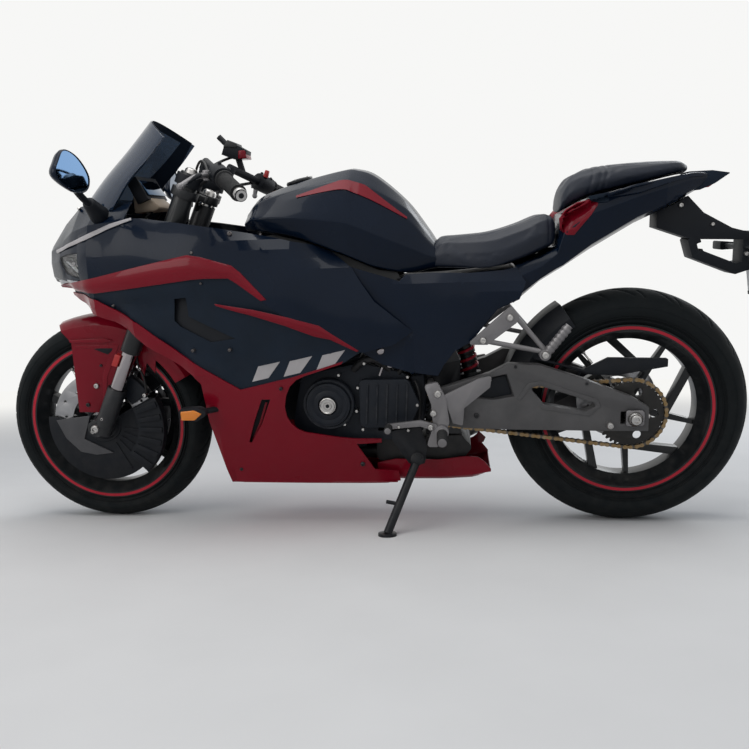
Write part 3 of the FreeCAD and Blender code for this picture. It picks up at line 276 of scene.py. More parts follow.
def walled(piece, thick, inwards=False):
    """Give a sheet a wall in millimetres, around itself or, for a left panel, inwards only."""
    faces_out(piece)
    facing = sum((polygon.normal.y * polygon.area for polygon in piece.data.polygons))
    offset = (-1.0 if facing < 0 else 1.0) if inwards else 0
    return modify(piece, "SOLIDIFY", thickness=thick * MM, offset=offset)

# %% [markdown]
# Paint, plastic, rubber and metal on a used bike share three effects: a fine grain, dust that
# settles low down and on faces that look up, and wear along edges. Each effect is a node group that
# gives out a height or a mask, so every material can take it with its own scale and strength.

# %% Node groups: grain, dust and worn edges
def group_of(name, inputs, outputs):
    """An empty shader node group with its sockets."""
    group = bpy.data.node_groups.new(name, "ShaderNodeTree")
    for label, kind, value in inputs:
        socket = group.interface.new_socket(label, in_out="INPUT", socket_type=kind)
        if value is not None:
            socket.default_value = value
    for label, kind in outputs:
        group.interface.new_socket(label, in_out="OUTPUT", socket_type=kind)
    return group, group.nodes.new("NodeGroupInput"), group.nodes.new("NodeGroupOutput")


def noise_at(tree, vector, scale, detail):
    """A noise value at a place."""
    return node_of(tree, "TexNoise", {"Detail": detail, "Vector": vector, "Scale": scale}).outputs["Fac"]


grain, g_in, g_out = group_of(
    "surface_grain",
    [("Vector", "NodeSocketVector", None), ("Scale", "NodeSocketFloat", 900.0)],
    [("Height", "NodeSocketFloat"), ("Blotch", "NodeSocketFloat")])
fine = noise_at(grain, g_in.outputs["Vector"], g_in.outputs["Scale"], 3.0)
coarse_scale = maths(grain, "MULTIPLY", g_in.outputs["Scale"], 0.012)
coarse = noise_at(grain, g_in.outputs["Vector"], coarse_scale, 5.0)
grain.links.new(fine, g_out.inputs["Height"])
grain.links.new(coarse, g_out.inputs["Blotch"])

dust, d_in, d_out = group_of(
    "road_dust",
    [("Vector", "NodeSocketVector", None), ("Amount", "NodeSocketFloat", 0.3)],
    [("Mask", "NodeSocketFloat")])
split_normal = node_of(dust, "SeparateXYZ", {0: node_of(dust, "NewGeometry").outputs["Normal"]})
split_place = node_of(dust, "SeparateXYZ", {0: d_in.outputs["Vector"]})
looks_up = maths(dust, "MAXIMUM", split_normal.outputs["Z"], 0.0)
low_down = maths(dust, "SUBTRACT", 1.0, maths(dust, "MULTIPLY", split_place.outputs["Z"], 1.6, True), True)
specks = noise_at(dust, d_in.outputs["Vector"], 38.0, 8.0)
speck_mask = maths(dust, "MULTIPLY", maths(dust, "SUBTRACT", specks, 0.38, True), 2.4, True)
where = maths(dust, "ADD", maths(dust, "MULTIPLY", looks_up, 0.4), maths(dust, "MULTIPLY", low_down, 0.6))
mask = maths(dust, "MULTIPLY", maths(dust, "MULTIPLY", where, speck_mask), d_in.outputs["Amount"], True)
dust.links.new(mask, d_out.inputs["Mask"])

wear, w_in, w_out = group_of(
    "worn_edges",
    [("Vector", "NodeSocketVector", None), ("Amount", "NodeSocketFloat", 0.4)],
    [("Mask", "NodeSocketFloat")])
pointed = node_of(wear, "NewGeometry").outputs["Pointiness"]
sharp = maths(wear, "MULTIPLY", maths(wear, "SUBTRACT", pointed, 0.53, True), 9.0, True)
patchy = noise_at(wear, w_in.outputs["Vector"], 60.0, 6.0)
patch_mask = maths(wear, "MULTIPLY", maths(wear, "SUBTRACT", patchy, 0.35, True), 3.0, True)
worn = maths(wear, "MULTIPLY", maths(wear, "MULTIPLY", sharp, patch_mask), w_in.outputs["Amount"], True)
wear.links.new(worn, w_out.inputs["Mask"])
print("groups:", [g.name for g in bpy.data.node_groups])

# %% [markdown]
# One function then builds every opaque finish. The colour wanders a little with the coarse grain,
# dust lies over it, worn edges show what is underneath, and the fine grain drives a small bump.
# Numbers that are the same all over, such as the coat, are set on the shader itself.

# %% The function that builds a finish
DUST = (0.40, 0.36, 0.31, 1)
ROUGH_VARY = 0.12


def finish(name, colour, rough, metal=0.0, coat=0.0, grain_scale=900.0, bump=0.05, dusty=0.25, worn=0.0,
           under=(0.05, 0.05, 0.05, 1), vary=0.12, specular=0.5):
    """An opaque finish: its colour and roughness wander with the coarse grain."""
    material = bpy.data.materials.new(name)
    material.use_nodes = True
    material.diffuse_color = (*colour, 1)
    tree = material.node_tree
    shader = tree.nodes["Principled BSDF"]
    for label, value in (("Metallic", metal), ("Coat Weight", coat), ("Coat Roughness", 0.05),
                         ("Coat IOR", 1.35), ("Specular IOR Level", specular)):
        shader.inputs[label].default_value = value
    place = node_of(tree, "TexCoord").outputs["Object"]
    grain_node = node_of(tree, "Group", node_tree=grain)
    grain_node.inputs["Scale"].default_value = grain_scale
    tree.links.new(place, grain_node.inputs["Vector"])

    def wander(low, high):
        return node_of(tree, "MapRange", {"From Min": 0.3, "From Max": 0.7, "To Min": low, "To Max": high,
                                          "Value": grain_node.outputs["Blotch"]}).outputs[0]

    top = node_of(tree, "VectorMath", {0: colour, "Scale": wander(1.0 - vary, 1.0 + vary)},
                  operation="SCALE").outputs[0]
    if worn:
        top = layered(tree, wear, place, worn, top, under)
    if dusty:
        top = layered(tree, dust, place, dusty, top, DUST)
    tree.links.new(top, shader.inputs["Base Color"])
    rough_now = wander(rough * (1 - ROUGH_VARY), min(1.0, rough * (1 + ROUGH_VARY)))
    tree.links.new(rough_now, shader.inputs["Roughness"])
    if bump:
        relief = node_of(tree, "Bump", {"Strength": bump, "Distance": 0.0006,
                                        "Height": grain_node.outputs["Height"]})
        tree.links.new(relief.outputs[0], shader.inputs["Normal"])
    return material


def layered(tree, effect, place, amount, below, colour):
    """Lay a colour over another where an effect's mask says so."""
    node = node_of(tree, "Group", node_tree=effect)
    node.inputs["Amount"].default_value = amount
    tree.links.new(place, node.inputs["Vector"])
    lay = node_of(tree, "Mix", {"Factor": node.outputs["Mask"], "A": below, "B": colour}, data_type="RGBA")
    return lay.outputs["Result"]

# %% [markdown]
# The colours follow the bike: a deep crimson under clear coat, black with a painted blue sky reflection
# in its colour, dull charcoal plastic for the sunken parts, a grey swingarm, bare cast alloy and a gold
# chain.

# %% Paints and plastics
crimson = finish("crimson_paint", (0.190, 0.0020, 0.0115), 0.30, coat=0.4, grain_scale=500, bump=0.02,
                 dusty=0.015, vary=0.05, specular=0.1)
# The black's blue tint is a painted reflection of the sky, laid into the paint's colour.
gloss_black = finish("gloss_black_paint", (0.0034, 0.0085, 0.0200), 0.26, coat=0.28, grain_scale=500,
                     bump=0.02, dusty=0.015, vary=0.1, specular=0.08)
charcoal = finish("charcoal_plastic", (0.0062, 0.0125, 0.0230), 0.50, grain_scale=1500, bump=0.12,
                  dusty=0.04, specular=0.16)
trim_black = finish("moulded_black", (0.0045, 0.0060, 0.0090), 0.55, grain_scale=1600, bump=0.2, dusty=0.05,
                    specular=0.2)
cover_grey = finish("disc_cover_grey", (0.062, 0.062, 0.066), 0.5, grain_scale=1500, bump=0.12, dusty=0.1,
                    specular=0.3)
silver_paint = finish("silver_paint", (0.42, 0.43, 0.45), 0.32, metal=0.4, coat=0.3, grain_scale=1400,
                      bump=0.04, dusty=0.05)
# A pale finish for the printed bars, and for the strips of painted highlight along the nose's brow.
pale_print_and_highlight = finish("pale_print_and_highlight", (0.40, 0.38, 0.38), 0.42, grain_scale=1200, bump=0.03, dusty=0.05,
                    specular=0.3)
blank_plate = finish("blank_plate", (0.48, 0.49, 0.50), 0.35, grain_scale=1200, bump=0.03, dusty=0.1,
                     specular=0.3)
tape_red = finish("rim_tape", (0.46, 0.012, 0.030), 0.35, grain_scale=900, bump=0.03, dusty=0.05,
                  specular=0.3)
wheel_black = finish("wheel_black", (0.006, 0.0075, 0.009), 0.34, coat=0.2, grain_scale=900, bump=0.08,
                     dusty=0.08, worn=0.15, under=(0.2, 0.2, 0.21, 1), specular=0.3)
frame_black = finish("frame_black", (0.010, 0.011, 0.013), 0.42, grain_scale=800, bump=0.08, dusty=0.08,
                     worn=0.2, under=(0.2, 0.2, 0.21, 1), specular=0.35)
engine_black = finish("engine_casting", (0.0060, 0.0085, 0.0135), 0.5, grain_scale=1100, bump=0.25,
                      dusty=0.05, worn=0.12, under=(0.2, 0.2, 0.2, 1), specular=0.2)
rubber = finish("tyre_rubber", (0.0070, 0.0090, 0.0100), 0.74, grain_scale=1300, bump=0.15, dusty=0.04,
                specular=0.12, vary=0.15)
soft_rubber = finish("grip_rubber", (0.0085, 0.009, 0.010), 0.66, grain_scale=1300, bump=0.2, dusty=0.05,
                     specular=0.3)
hose_rubber = finish("hose_rubber", (0.010, 0.010, 0.011), 0.5, grain_scale=900, bump=0.05, dusty=0.05,
                     specular=0.3)
print(len(bpy.data.materials), "materials so far")

# %% Metals
arm_grey = finish("swingarm_grey", (0.078, 0.076, 0.077), 0.50, metal=0.2, grain_scale=1300, bump=0.1,
                  dusty=0.1, worn=0.2, under=(0.25, 0.25, 0.25, 1), specular=0.35)
cast_alloy = finish("cast_alloy", (0.185, 0.178, 0.182), 0.40, metal=0.6, grain_scale=1200, bump=0.15,
                    dusty=0.08, worn=0.3, under=(0.45, 0.45, 0.46, 1))
chrome = finish("hard_chrome", (0.30, 0.28, 0.29), 0.10, metal=1.0, grain_scale=900, bump=0.01, dusty=0.04,
                vary=0.03)
disc_steel = finish("disc_steel", (0.30, 0.30, 0.31), 0.30, metal=1.0, grain_scale=2200, bump=0.05,
                    dusty=0.06)
pipe_steel = finish("pipe_steel", (0.11, 0.10, 0.10), 0.38, metal=0.8, grain_scale=700, bump=0.06,
                    dusty=0.15, vary=0.3)
chain_steel = finish("chain_steel", (0.085, 0.075, 0.065), 0.38, metal=0.9, grain_scale=1500, bump=0.06,
                     dusty=0.1, worn=0.3, under=(0.4, 0.38, 0.34, 1))
chain_gold = finish("chain_gold", (0.24, 0.155, 0.065), 0.36, metal=0.9, grain_scale=1500, bump=0.06,
                    dusty=0.1, worn=0.3, under=(0.4, 0.38, 0.34, 1))
stand_steel = finish("stand_steel", (0.0055, 0.0065, 0.009), 0.45, grain_scale=900, bump=0.1, dusty=0.05,
                     worn=0.2, under=(0.26, 0.25, 0.24, 1), specular=0.22)
dark_steel = finish("dark_steel", (0.022, 0.021, 0.020), 0.42, metal=0.6, grain_scale=1500, bump=0.06,
                    dusty=0.06, worn=0.2, under=(0.25, 0.24, 0.22, 1))
pipe_black = finish("pipe_black", (0.012, 0.012, 0.013), 0.5, metal=0.2, grain_scale=700, bump=0.08,
                    dusty=0.1, specular=0.3, worn=0.2, under=(0.16, 0.13, 0.11, 1))
bolt_steel = finish("bolt_steel", (0.46, 0.45, 0.44), 0.30, metal=1.0, grain_scale=1500, bump=0.04,
                    dusty=0.06)
radiator_alloy = finish("radiator_alloy", (0.022, 0.022, 0.024), 0.5, metal=0.3, grain_scale=900, bump=0.1,
                        dusty=0.12)
mirror_glass = finish("mirror_glass", (0.050, 0.095, 0.165), 0.04, metal=1.0, bump=0.0, dusty=0.02, vary=0.01)
beige_plate = finish("bare_plastic", (0.40, 0.31, 0.22), 0.55, grain_scale=1200, bump=0.1, dusty=0.1)
switch_red = finish("switch_red", (0.42, 0.016, 0.014), 0.4, grain_scale=1200, bump=0.05, dusty=0.05)
print(len(bpy.data.materials), "materials so far")

# %% [markdown]
# The seats are stretched vinyl. Real vinyl has a pebbled grain about a millimetre across with finer
# creases between the pebbles, which a Voronoi texture gives better than noise does.

# %% Seat vinyl
def vinyl_finish(name, colour):
    """A dull finish with a pebbled grain."""
    material = finish(name, colour, 0.48, grain_scale=900, bump=0.0, dusty=0.05, specular=0.35)
    tree = material.node_tree
    shader = tree.nodes["Principled BSDF"]
    place = next(n for n in tree.nodes if n.type == "TEX_COORD").outputs["Object"]
    pebbles = node_of(tree, "TexVoronoi", {"Scale": 620.0, "Vector": place}, feature="SMOOTH_F1")
    relief = node_of(tree, "Bump", {"Strength": 0.35, "Distance": 0.0005,
                                    "Height": pebbles.outputs["Distance"]}, invert=True)
    tree.links.new(relief.outputs[0], shader.inputs["Normal"])
    return material


vinyl = vinyl_finish("seat_vinyl", (0.0052, 0.0090, 0.0190))
print(vinyl.name)

# %% [markdown]
# Clear and tinted plastics let light through. They keep a plain Metallic and Transmission Weight,
# and a thin dust layer makes only their roughness wander.

# %% See-through finishes
def clear_finish(name, colour, through, rough=0.05, alpha=1.0):
    """A finish that lets light through."""
    material = finish(name, colour, rough, coat=0.4, bump=0.0, dusty=0.03, vary=0.03)
    shader = material.node_tree.nodes["Principled BSDF"]
    shader.inputs["Transmission Weight"].default_value = through
    shader.inputs["IOR"].default_value = 1.45
    shader.inputs["Alpha"].default_value = alpha
    return material


screen_tint = clear_finish("screen_tint", (0.012, 0.034, 0.078), 0.35, 0.05, 0.90)
lamp_cover = clear_finish("lamp_cover", (0.22, 0.25, 0.28), 0.9, 0.03, 0.16)
lens_glass = clear_finish("lens_glass", (0.13, 0.16, 0.17), 0.5, 0.03, 0.95)
amber_lens = clear_finish("amber_lens", (0.95, 0.28, 0.02), 0.25, 0.16)
red_lens = clear_finish("red_lens", (0.55, 0.01, 0.02), 0.3, 0.12)
print(len(bpy.data.materials), "materials")

# %% [markdown]
# Three ways of starting a mesh cover most of the bike. A `sheet_of` is a grid whose points are laid
# along rungs from an upper to a lower edge, as a panel's ribs are. A `plate` is a circle pulled to
# an outline and extruded across the bike. A `spun` ring is an outline turned round an axle.

# %% Starting shapes
def sheet_of(name, across, along, place):
    """A grid of across by along cells, each point put where place(u, v) says, in millimetres."""
    fresh()
    bpy.ops.mesh.primitive_grid_add(x_subdivisions=along, y_subdivisions=across, size=2.0)
    piece = named(name)
    for vertex in piece.data.vertices:
        u, v = (vertex.co.x + 1) / 2, (vertex.co.y + 1) / 2
        vertex.co = Vector(place(u, v)) * MM
    return piece


def flat_face(name, outline, y=0):
    """One flat face of a side view outline."""
    fresh()
    bpy.ops.mesh.primitive_circle_add(vertices=len(outline), fill_type="NGON")
    piece = named(name)
    for vertex, (x, z) in zip(piece.data.vertices, outline):
        vertex.co = Vector((x, y, z)) * MM
    return piece


def plate(name, outline, y0, y1):
    """A side view outline, extruded across the bike from y0 to y1."""
    piece = flat_face(name, outline, y0)
    bpy.ops.object.mode_set(mode="EDIT")
    bpy.ops.mesh.select_all(action="SELECT")
    bpy.ops.mesh.extrude_region_move(TRANSFORM_OT_translate={"value": (0, (y1 - y0) * MM, 0)})
    bpy.ops.object.mode_set(mode="OBJECT")
    return piece


ORIGIN = Vector((0, 0, 0))


def spun(name, profile, steps, axle=ORIGIN):
    """A closed outline of (y, radius) points turned round an axle that runs across the bike."""
    fresh()
    bpy.ops.mesh.primitive_circle_add(vertices=len(profile))
    piece = named(name)
    for vertex, (y, radius) in zip(piece.data.vertices, profile):
        vertex.co = axle + Vector((0, y, radius)) * MM
    bpy.ops.object.mode_set(mode="EDIT")
    bpy.ops.mesh.select_all(action="SELECT")
    bpy.ops.mesh.spin(steps=steps, angle=math.radians(360), center=axle, axis=(0, 1, 0))
    bpy.ops.mesh.select_all(action="SELECT")
    bpy.ops.mesh.remove_doubles(threshold=0.00005)
    bpy.ops.object.mode_set(mode="OBJECT")
    return piece


def tube(name, points, radius, sides=12):
    """A round bar along points, in millimetres, bent smoothly at each."""
    curve = bpy.data.curves.new(name, "CURVE")
    curve.dimensions = "3D"
    curve.bevel_depth = radius * MM
    curve.bevel_resolution = sides // 4
    curve.use_fill_caps = True
    curve.resolution_u = 8
    spline = curve.splines.new("NURBS")
    spline.points.add(len(points) - 1)
    for point, place in zip(spline.points, points):
        point.co = (*(Vector(place) * MM), 1)
    spline.order_u = 3
    spline.use_endpoint_u = True
    bar = bpy.data.objects.new(name, curve)
    bpy.context.scene.collection.objects.link(bar)
    only(bar)
    bpy.ops.object.convert(target="MESH")
    return named(name)


def rod(name, start, end, radius, end_radius=None, sides=20):
    """A round bar or cone between two points, in millimetres."""
    start, end = Vector(start) * MM, Vector(end) * MM
    fresh()
    bpy.ops.mesh.primitive_cone_add(vertices=sides, radius1=radius * MM,
                                    radius2=(radius if end_radius is None else end_radius) * MM,
                                    depth=(end - start).length, location=(0, 0, 0))
    piece = named(name)
    turn = (end - start).to_track_quat("Z", "Y").to_matrix().to_4x4()
    piece.data.transform(Matrix.Translation((start + end) / 2) @ turn)
    return piece


def cut_by(piece, *cutters):
    """Take the cutters' shapes out of a piece, and delete them."""
    for cutter in cutters:
        faces_out(cutter)
        faces_out(piece)
        modify(piece, "BOOLEAN", object=cutter, operation="DIFFERENCE", solver="EXACT")
        bpy.data.objects.remove(cutter)
    return piece


def between(points, t):
    """The point at share t of a row of points, along straight runs of equal number."""
    last = len(points) - 1
    i = min(int(t * last), last - 1)
    share = t * last - i
    return [a + (b - a) * share for a, b in zip(points[i], points[i + 1])]


def curve_at(p0, p1, p2, p3, s):
    """A place at share s between the middle two of four points, on a curve through them."""
    return [0.5 * (2 * b + (c - a) * s + (2 * a - 5 * b + 4 * c - d) * s ** 2
                   + (3 * b - a - 3 * c + d) * s ** 3) for a, b, c, d in zip(p0, p1, p2, p3)]


def smooth_between(points, t):
    """The same on a curve that passes through every point."""
    last = len(points) - 1
    i = min(int(t * last), last - 1)
    s = t * last - i
    p1, p2 = points[i], points[i + 1]
    p0 = points[i - 1] if i else [2 * a - b for a, b in zip(p1, p2)]
    p3 = points[i + 2] if i + 2 <= last else [2 * b - a for a, b in zip(p1, p2)]
    return curve_at(p0, p1, p2, p3, s)


print("shape helpers ready")

# %% [markdown]
# All side panels lie on one smooth skin. It is given by stations along the bike, each with a few
# heights and the skin's distance from the middle plane there. `skin_y` reads between them, so a
# panel's edge only needs its side view, and neighbours always meet.

# %% The bodywork's skin
# x, then (z, distance from the middle plane) from the keel up
STATIONS = [
    (-1572, ((696, 12), (712, 26), (748, 32), (780, 24), (794, 10))),
    (-1520, ((682, 30), (704, 72), (756, 86), (802, 64), (856, 20))),
    (-1465, ((652, 58), (684, 116), (760, 132), (832, 106), (902, 34))),
    (-1400, ((610, 96), (640, 158), (766, 172), (848, 146), (908, 60))),
    (-1280, ((500, 118), (560, 186), (768, 196), (864, 170), (905, 104))),
    (-1120, ((260, 120), (430, 196), (740, 208), (844, 178), (880, 124))),
    (-1075, ((140, 112), (402, 194), (727, 210), (836, 180), (860, 124))),
    (-860, ((140, 112), (380, 192), (660, 208), (792, 172), (812, 118))),
    (-700, ((138, 108), (350, 172), (600, 186), (732, 150), (752, 110))),
    (-600, ((138, 104), (330, 150), (560, 165), (690, 140), (706, 100))),
    (-360, ((190, 90), (232, 98), (280, 98), (318, 92), (330, 80))),
]


def station_y(row, z):
    """The skin at one station: a smooth curve through its points."""
    points = row[1]
    if z <= points[0][0]:
        return points[0][1]
    if z >= points[-1][0]:
        (z0, y0), (z1, y1) = points[-2], points[-1]
        return max(20.0, y1 + (y1 - y0) / (z1 - z0) * (z - z1))
    i = max(k for k in range(len(points) - 1) if points[k][0] <= z)
    share = (z - points[i][0]) / (points[i + 1][0] - points[i][0])
    return smooth_between([(p[1],) for p in points], (i + share) / (len(points) - 1))[0]


def skin_y(x, z):
    """Half the body's width at a place in the side view."""
    x = min(max(x, STATIONS[0][0]), STATIONS[-1][0])
    i = max(k for k in range(len(STATIONS) - 1) if STATIONS[k][0] <= x)
    a, b = STATIONS[i], STATIONS[i + 1]
    share = (x - a[0]) / (b[0] - a[0])
    share = share * share * (3 - 2 * share) * 0.4 + share * 0.6
    return station_y(a, z) * (1 - share) + station_y(b, z) * share


def panel(name, rungs, across, along, lift, thick, round_edge=1.2, swell=0.0, skin=skin_y):
    """A side panel between rungs ((x, z) above, (x, z) below) on a skin. swell crowns it."""
    upper, lower = [r[0] for r in rungs], [r[1] for r in rungs]

    def place(u, v):
        top, low = between(upper, u), between(lower, u)
        x, z = (low[0] + (top[0] - low[0]) * v, low[1] + (top[1] - low[1]) * v)
        crown = swell * math.sin(math.pi * v) * min(1.0, 4 * u, 4 * (1 - u))
        return (x, -(skin(x, z) + lift + crown), z)

    piece = sheet_of(name, across, (len(rungs) - 1) * along, place)
    walled(piece, thick, inwards=True)
    return both_sides(bevelled(piece, round_edge))


def sliced(piece, spots, across):
    """Cut a piece into cells by planes through the spots, in millimetres."""
    only(piece)
    bpy.ops.object.mode_set(mode="EDIT")
    for spot in spots:
        bpy.ops.mesh.select_all(action="SELECT")
        bpy.ops.mesh.bisect(plane_co=Vector(spot) * MM, plane_no=across)
    bpy.ops.object.mode_set(mode="OBJECT")


def shaped(name, outline, skin=skin_y, lift=0.0, thick=3.0, cell=20.0, creases=(), sink=None, round_edge=1.0):
    """A left panel of any side view outline. A flat plate is cut into cells and along its creases,
    laid on a skin, and given a wall that grows inwards. sink(x, z) presses it in."""
    piece = flat_face(name, outline)
    for (x0, z0), (x1, z1) in creases:
        sliced(piece, [(x0, 0, z0)], (z1 - z0, 0, x0 - x1))
    for axis, across in ((0, (1, 0, 0)), (1, (0, 0, 1))):
        low, high = (pick(p[axis] for p in outline) for pick in (min, max))
        count = int((high - low) / cell)
        levels = [low + (high - low) * (k + 0.5) / max(count, 1) for k in range(count)]
        sliced(piece, [(v, 0, 0) if axis == 0 else (0, 0, v) for v in levels], across)
    for vertex in piece.data.vertices:
        x, z = vertex.co.x / MM, vertex.co.z / MM
        vertex.co.y = -(skin(x, z) + lift - (sink(x, z) if sink else 0.0)) * MM
    walled(piece, thick, inwards=True)
    if round_edge:
        bevelled(piece, round_edge, 2, 50)
    return piece


def past(line, x, z):
    """How far a place lies to the left of a line from its first to its second point."""
    (x0, z0), (x1, z1) = line
    return ((x1 - x0) * (z - z0) - (z1 - z0) * (x - x0)) / math.hypot(x1 - x0, z1 - z0)


def height_on(line, x):
    """The height of a row of points at a place along the bike."""
    for (x0, z0), (x1, z1) in zip(line, line[1:]):
        if x <= x1:
            return z0 + (z1 - z0) * max(0.0, x - x0) / (x1 - x0)
    return line[-1][1]


print("the skin at the tank's middle is", round(skin_y(-850, 700)), "mm out")

# %% [markdown]
# The big black side panel comes first. On the real bike it is two mouldings: a glossy upper one that
# runs from the headlamp to the tank, and a dull one sunk below it, with a ledge, a scoop and bolts.

# %% Upper side panels
UPPER_SIDE = [(-1436, 822), (-1380, 842), (-1299, 862), (-1246, 861), (-1145, 846), (-1060, 832),
              (-997, 820), (-900, 801), (-813, 782), (-765, 762), (-711, 722), (-692, 690), (-655, 636),
              (-560, 556), (-610, 524), (-690, 508), (-738, 533), (-800, 564), (-870, 600), (-934, 644),
              (-1000, 720), (-1084, 748), (-1119, 756), (-1247, 733), (-1384, 704), (-1436, 694)]
UPPER_CREASES = [((-1440, 742), (-1107, 776)), ((-1107, 776), (-846, 783)), ((-900, 744), (-560, 590)),
                 ((-846, 783), (-655, 600))]


def upper_fold(x, z):
    """The side is flat below its long crease and turns in above it and behind the tank's front."""
    above = max(0.0, past(UPPER_CREASES[0], x, z)) if x < -1107 else max(0.0, past(UPPER_CREASES[1], x, z))
    behind = max(0.0, past(UPPER_CREASES[2], x, z))
    return 0.05 * above + 0.06 * min(behind, 90) - 1.5


side_black = shaped("upper_side_panels", UPPER_SIDE, creases=UPPER_CREASES, sink=upper_fold, cell=24)
finish_piece(both_sides(side_black), gloss_black, stands_for=("side_fairings",), angle=14)

# %% Middle side panels with their scoops
MIDDLE_TOP = [(-1505, 676), (-1387, 682), (-1231, 700), (-1107, 714), (-1016, 716), (-985, 702),
              (-928, 655), (-862, 606), (-800, 574), (-740, 542), (-690, 512)]
MIDDLE_LOW = [(-1505, 664), (-1452, 662), (-1388, 651), (-1314, 613), (-1268, 588), (-1165, 509),
              (-1007, 412), (-870, 443), (-738, 482), (-690, 508)]
SCOOP = [(-1164, 657), (-1133, 660), (-1130, 611), (-1012, 552), (-1076, 544), (-1154, 585), (-1170, 601)]
LEDGE = ((-1390, 664), (-1150, 672))
KEEL_LINE = ((-1310, 640), (-1030, 455))


def middle_sink(x, z):
    """Pressed in below the band by a ledge, flat in its middle, and rising again to the red edge."""
    top, low = height_on(MIDDLE_TOP, x), height_on(MIDDLE_LOW, x)
    from_top, from_low = max(0.0, top - z), max(0.0, z - low)
    step = 9.0 * min(1.0, max(0.0, -past(LEDGE, x, z)) / 14) if x < -1120 else 9.0 * min(1.0, from_top / 60)
    return 2.0 + min(step, 0.16 * from_low + 2.0)


middle = shaped("middle_side_panels", MIDDLE_TOP + MIDDLE_LOW[::-1][1:], sink=middle_sink, cell=20,
                creases=[LEDGE, KEEL_LINE, ((-1390, 650), (-1150, 658)), ((-1275, 663), (-1165, 515))])
cut_by(middle, plate("scoop", SCOOP, -230, -170))
finish_piece(both_sides(middle), charcoal, angle=16)
SCOOP_FLOOR = [(-1184, 668), (-1120, 672), (-1116, 622), (-990, 556), (-1070, 530), (-1168, 574)]
scoop_floor = shaped("scoop_floors", SCOOP_FLOOR, lift=-20, thick=2.0, sink=lambda x, z: 0.1 * (z - 600),
                     creases=[((-1150, 600), (-1000, 550))])
finish_piece(both_sides(scoop_floor), trim_black, angle=16)

# %% [markdown]
# Red blades lie on the black panels. They are separate thin mouldings with a raised middle, which
# is why their upper edges catch a line of light. `swell` gives that crown.

# %% Red bands on the sides
BAND = [
    ((-1556, 687), (-1554, 681)), ((-1470, 700), (-1470, 676)), ((-1384, 714), (-1387, 673)),
    ((-1247, 742), (-1240, 690)), ((-1119, 767), (-1112, 705)), ((-1084, 761), (-1080, 707)),
    ((-1007, 738), (-1016, 706)), ((-985, 720), (-993, 691)), ((-922, 651), (-936, 648)),
]
band = panel("red_bands", BAND, 6, 4, lift=3.5, swell=4.0, thick=4.5)
finish_piece(band, crimson)

BLADE = [
    ((-1056, 644), (-1052, 638)), ((-1016, 637), (-1012, 625)), ((-958, 627), (-965, 612)),
    ((-872, 606), (-876, 583)), ((-793, 582), (-805, 554)), ((-762, 559), (-768, 545)),
    ((-696, 514), (-702, 511)),
]
blade = panel("red_blades", BLADE, 4, 4, lift=2.5, swell=2.5, thick=4.0)
finish_piece(blade, crimson)

# %% [markdown]
# Three slanted pale bars stand where a sporty print would be. They are plain parallelograms of thin
# film, with no figure or letter.

# %% Slanted bars
for k in range(3):
    x, z = -958 + 84 * k, 13 * k
    bar = [(x, 478 + z), (x + 58, 490 + z), (x + 26, 448 + z), (x - 18, 438 + z)]
    bar = shaped(f"pale_bar_{k}", bar, thick=1.0, round_edge=0, sink=lambda x, z: middle_sink(x, z) - 0.9)
    finish_piece(bar, pale_print_and_highlight, angle=20)

# %% [markdown]
# The lower fairing is one red moulding. Its front edge folds inwards behind the front wheel, a horn
# of it runs back over the engine, and a slanted vent is let into it. The left one stops in front of
# the side stand. The right one runs on under the silencer, so each side has its own outline.

# %% Lower fairings
LOW_TOP = [(-1515, 668), (-1452, 666), (-1388, 656), (-1314, 619), (-1268, 594), (-1165, 515), (-1007, 418),
           (-870, 449), (-738, 487), (-743, 480), (-805, 462), (-838, 452), (-860, 442), (-878, 424),
           (-889, 400), (-895, 369), (-892, 342), (-883, 322), (-868, 306), (-848, 295), (-761, 277)]
LOW_LEFT = [(-727, 272), (-650, 268), (-650, 258), (-716, 256), (-672, 176), (-610, 170), (-604, 140),
            (-640, 134)]
LOW_RIGHT = [(-727, 272), (-661, 280), (-600, 262), (-520, 246), (-440, 238), (-396, 232), (-366, 205),
             (-372, 192), (-440, 162), (-520, 144), (-604, 134)]
LOW_FRONT = [(-882, 136), (-1072, 138), (-1092, 240), (-1107, 326), (-1109, 380), (-1114, 430),
             (-1132, 456), (-1172, 484), (-1254, 534), (-1298, 574), (-1345, 597), (-1408, 618),
             (-1460, 640), (-1511, 660)]
LEAD_FOLD = [(-1500, 664), (-1408, 636), (-1314, 603), (-1180, 500), (-1090, 440)]
FOLD_LINES = [(LEAD_FOLD[1], LEAD_FOLD[2]), (LEAD_FOLD[2], LEAD_FOLD[3]), ((-1078, 440), (-1048, 140)),
              ((-1000, 418), (-870, 300))]


def low_sink(x, z):
    """The lead's lower edge and the front edge behind the wheel turn inwards."""
    lead = max(0.0, height_on(LEAD_FOLD, x) - z) * 0.35 if x < -1118 else 0.0
    front = max(0.0, past(((-1048, 140), (-1078, 440)), x, z)) * 0.35 if z < 440 else 0.0
    upper = max(0.0, past(FOLD_LINES[3], x, z)) * 0.05 if x > -1010 else 0.0
    return min(14.0, max(lead, front)) + min(upper, 5.0)


def low_skin(x, z):
    """Ahead of the wheel's rear the fairing hangs nearly straight down from its upper edge."""
    top = height_on(LOW_TOP[:7], x)
    ease = min(1.0, max(0.0, (-1060 - x) / 120))
    return skin_y(x, z + max(0.0, top - z) * 0.8 * ease)


def low_fairing(name, outline):
    """One lower fairing, drawn on the left."""
    return shaped(name, outline, skin=low_skin, lift=3.0, thick=4.0, cell=22, creases=FOLD_LINES,
                  sink=low_sink, round_edge=0)


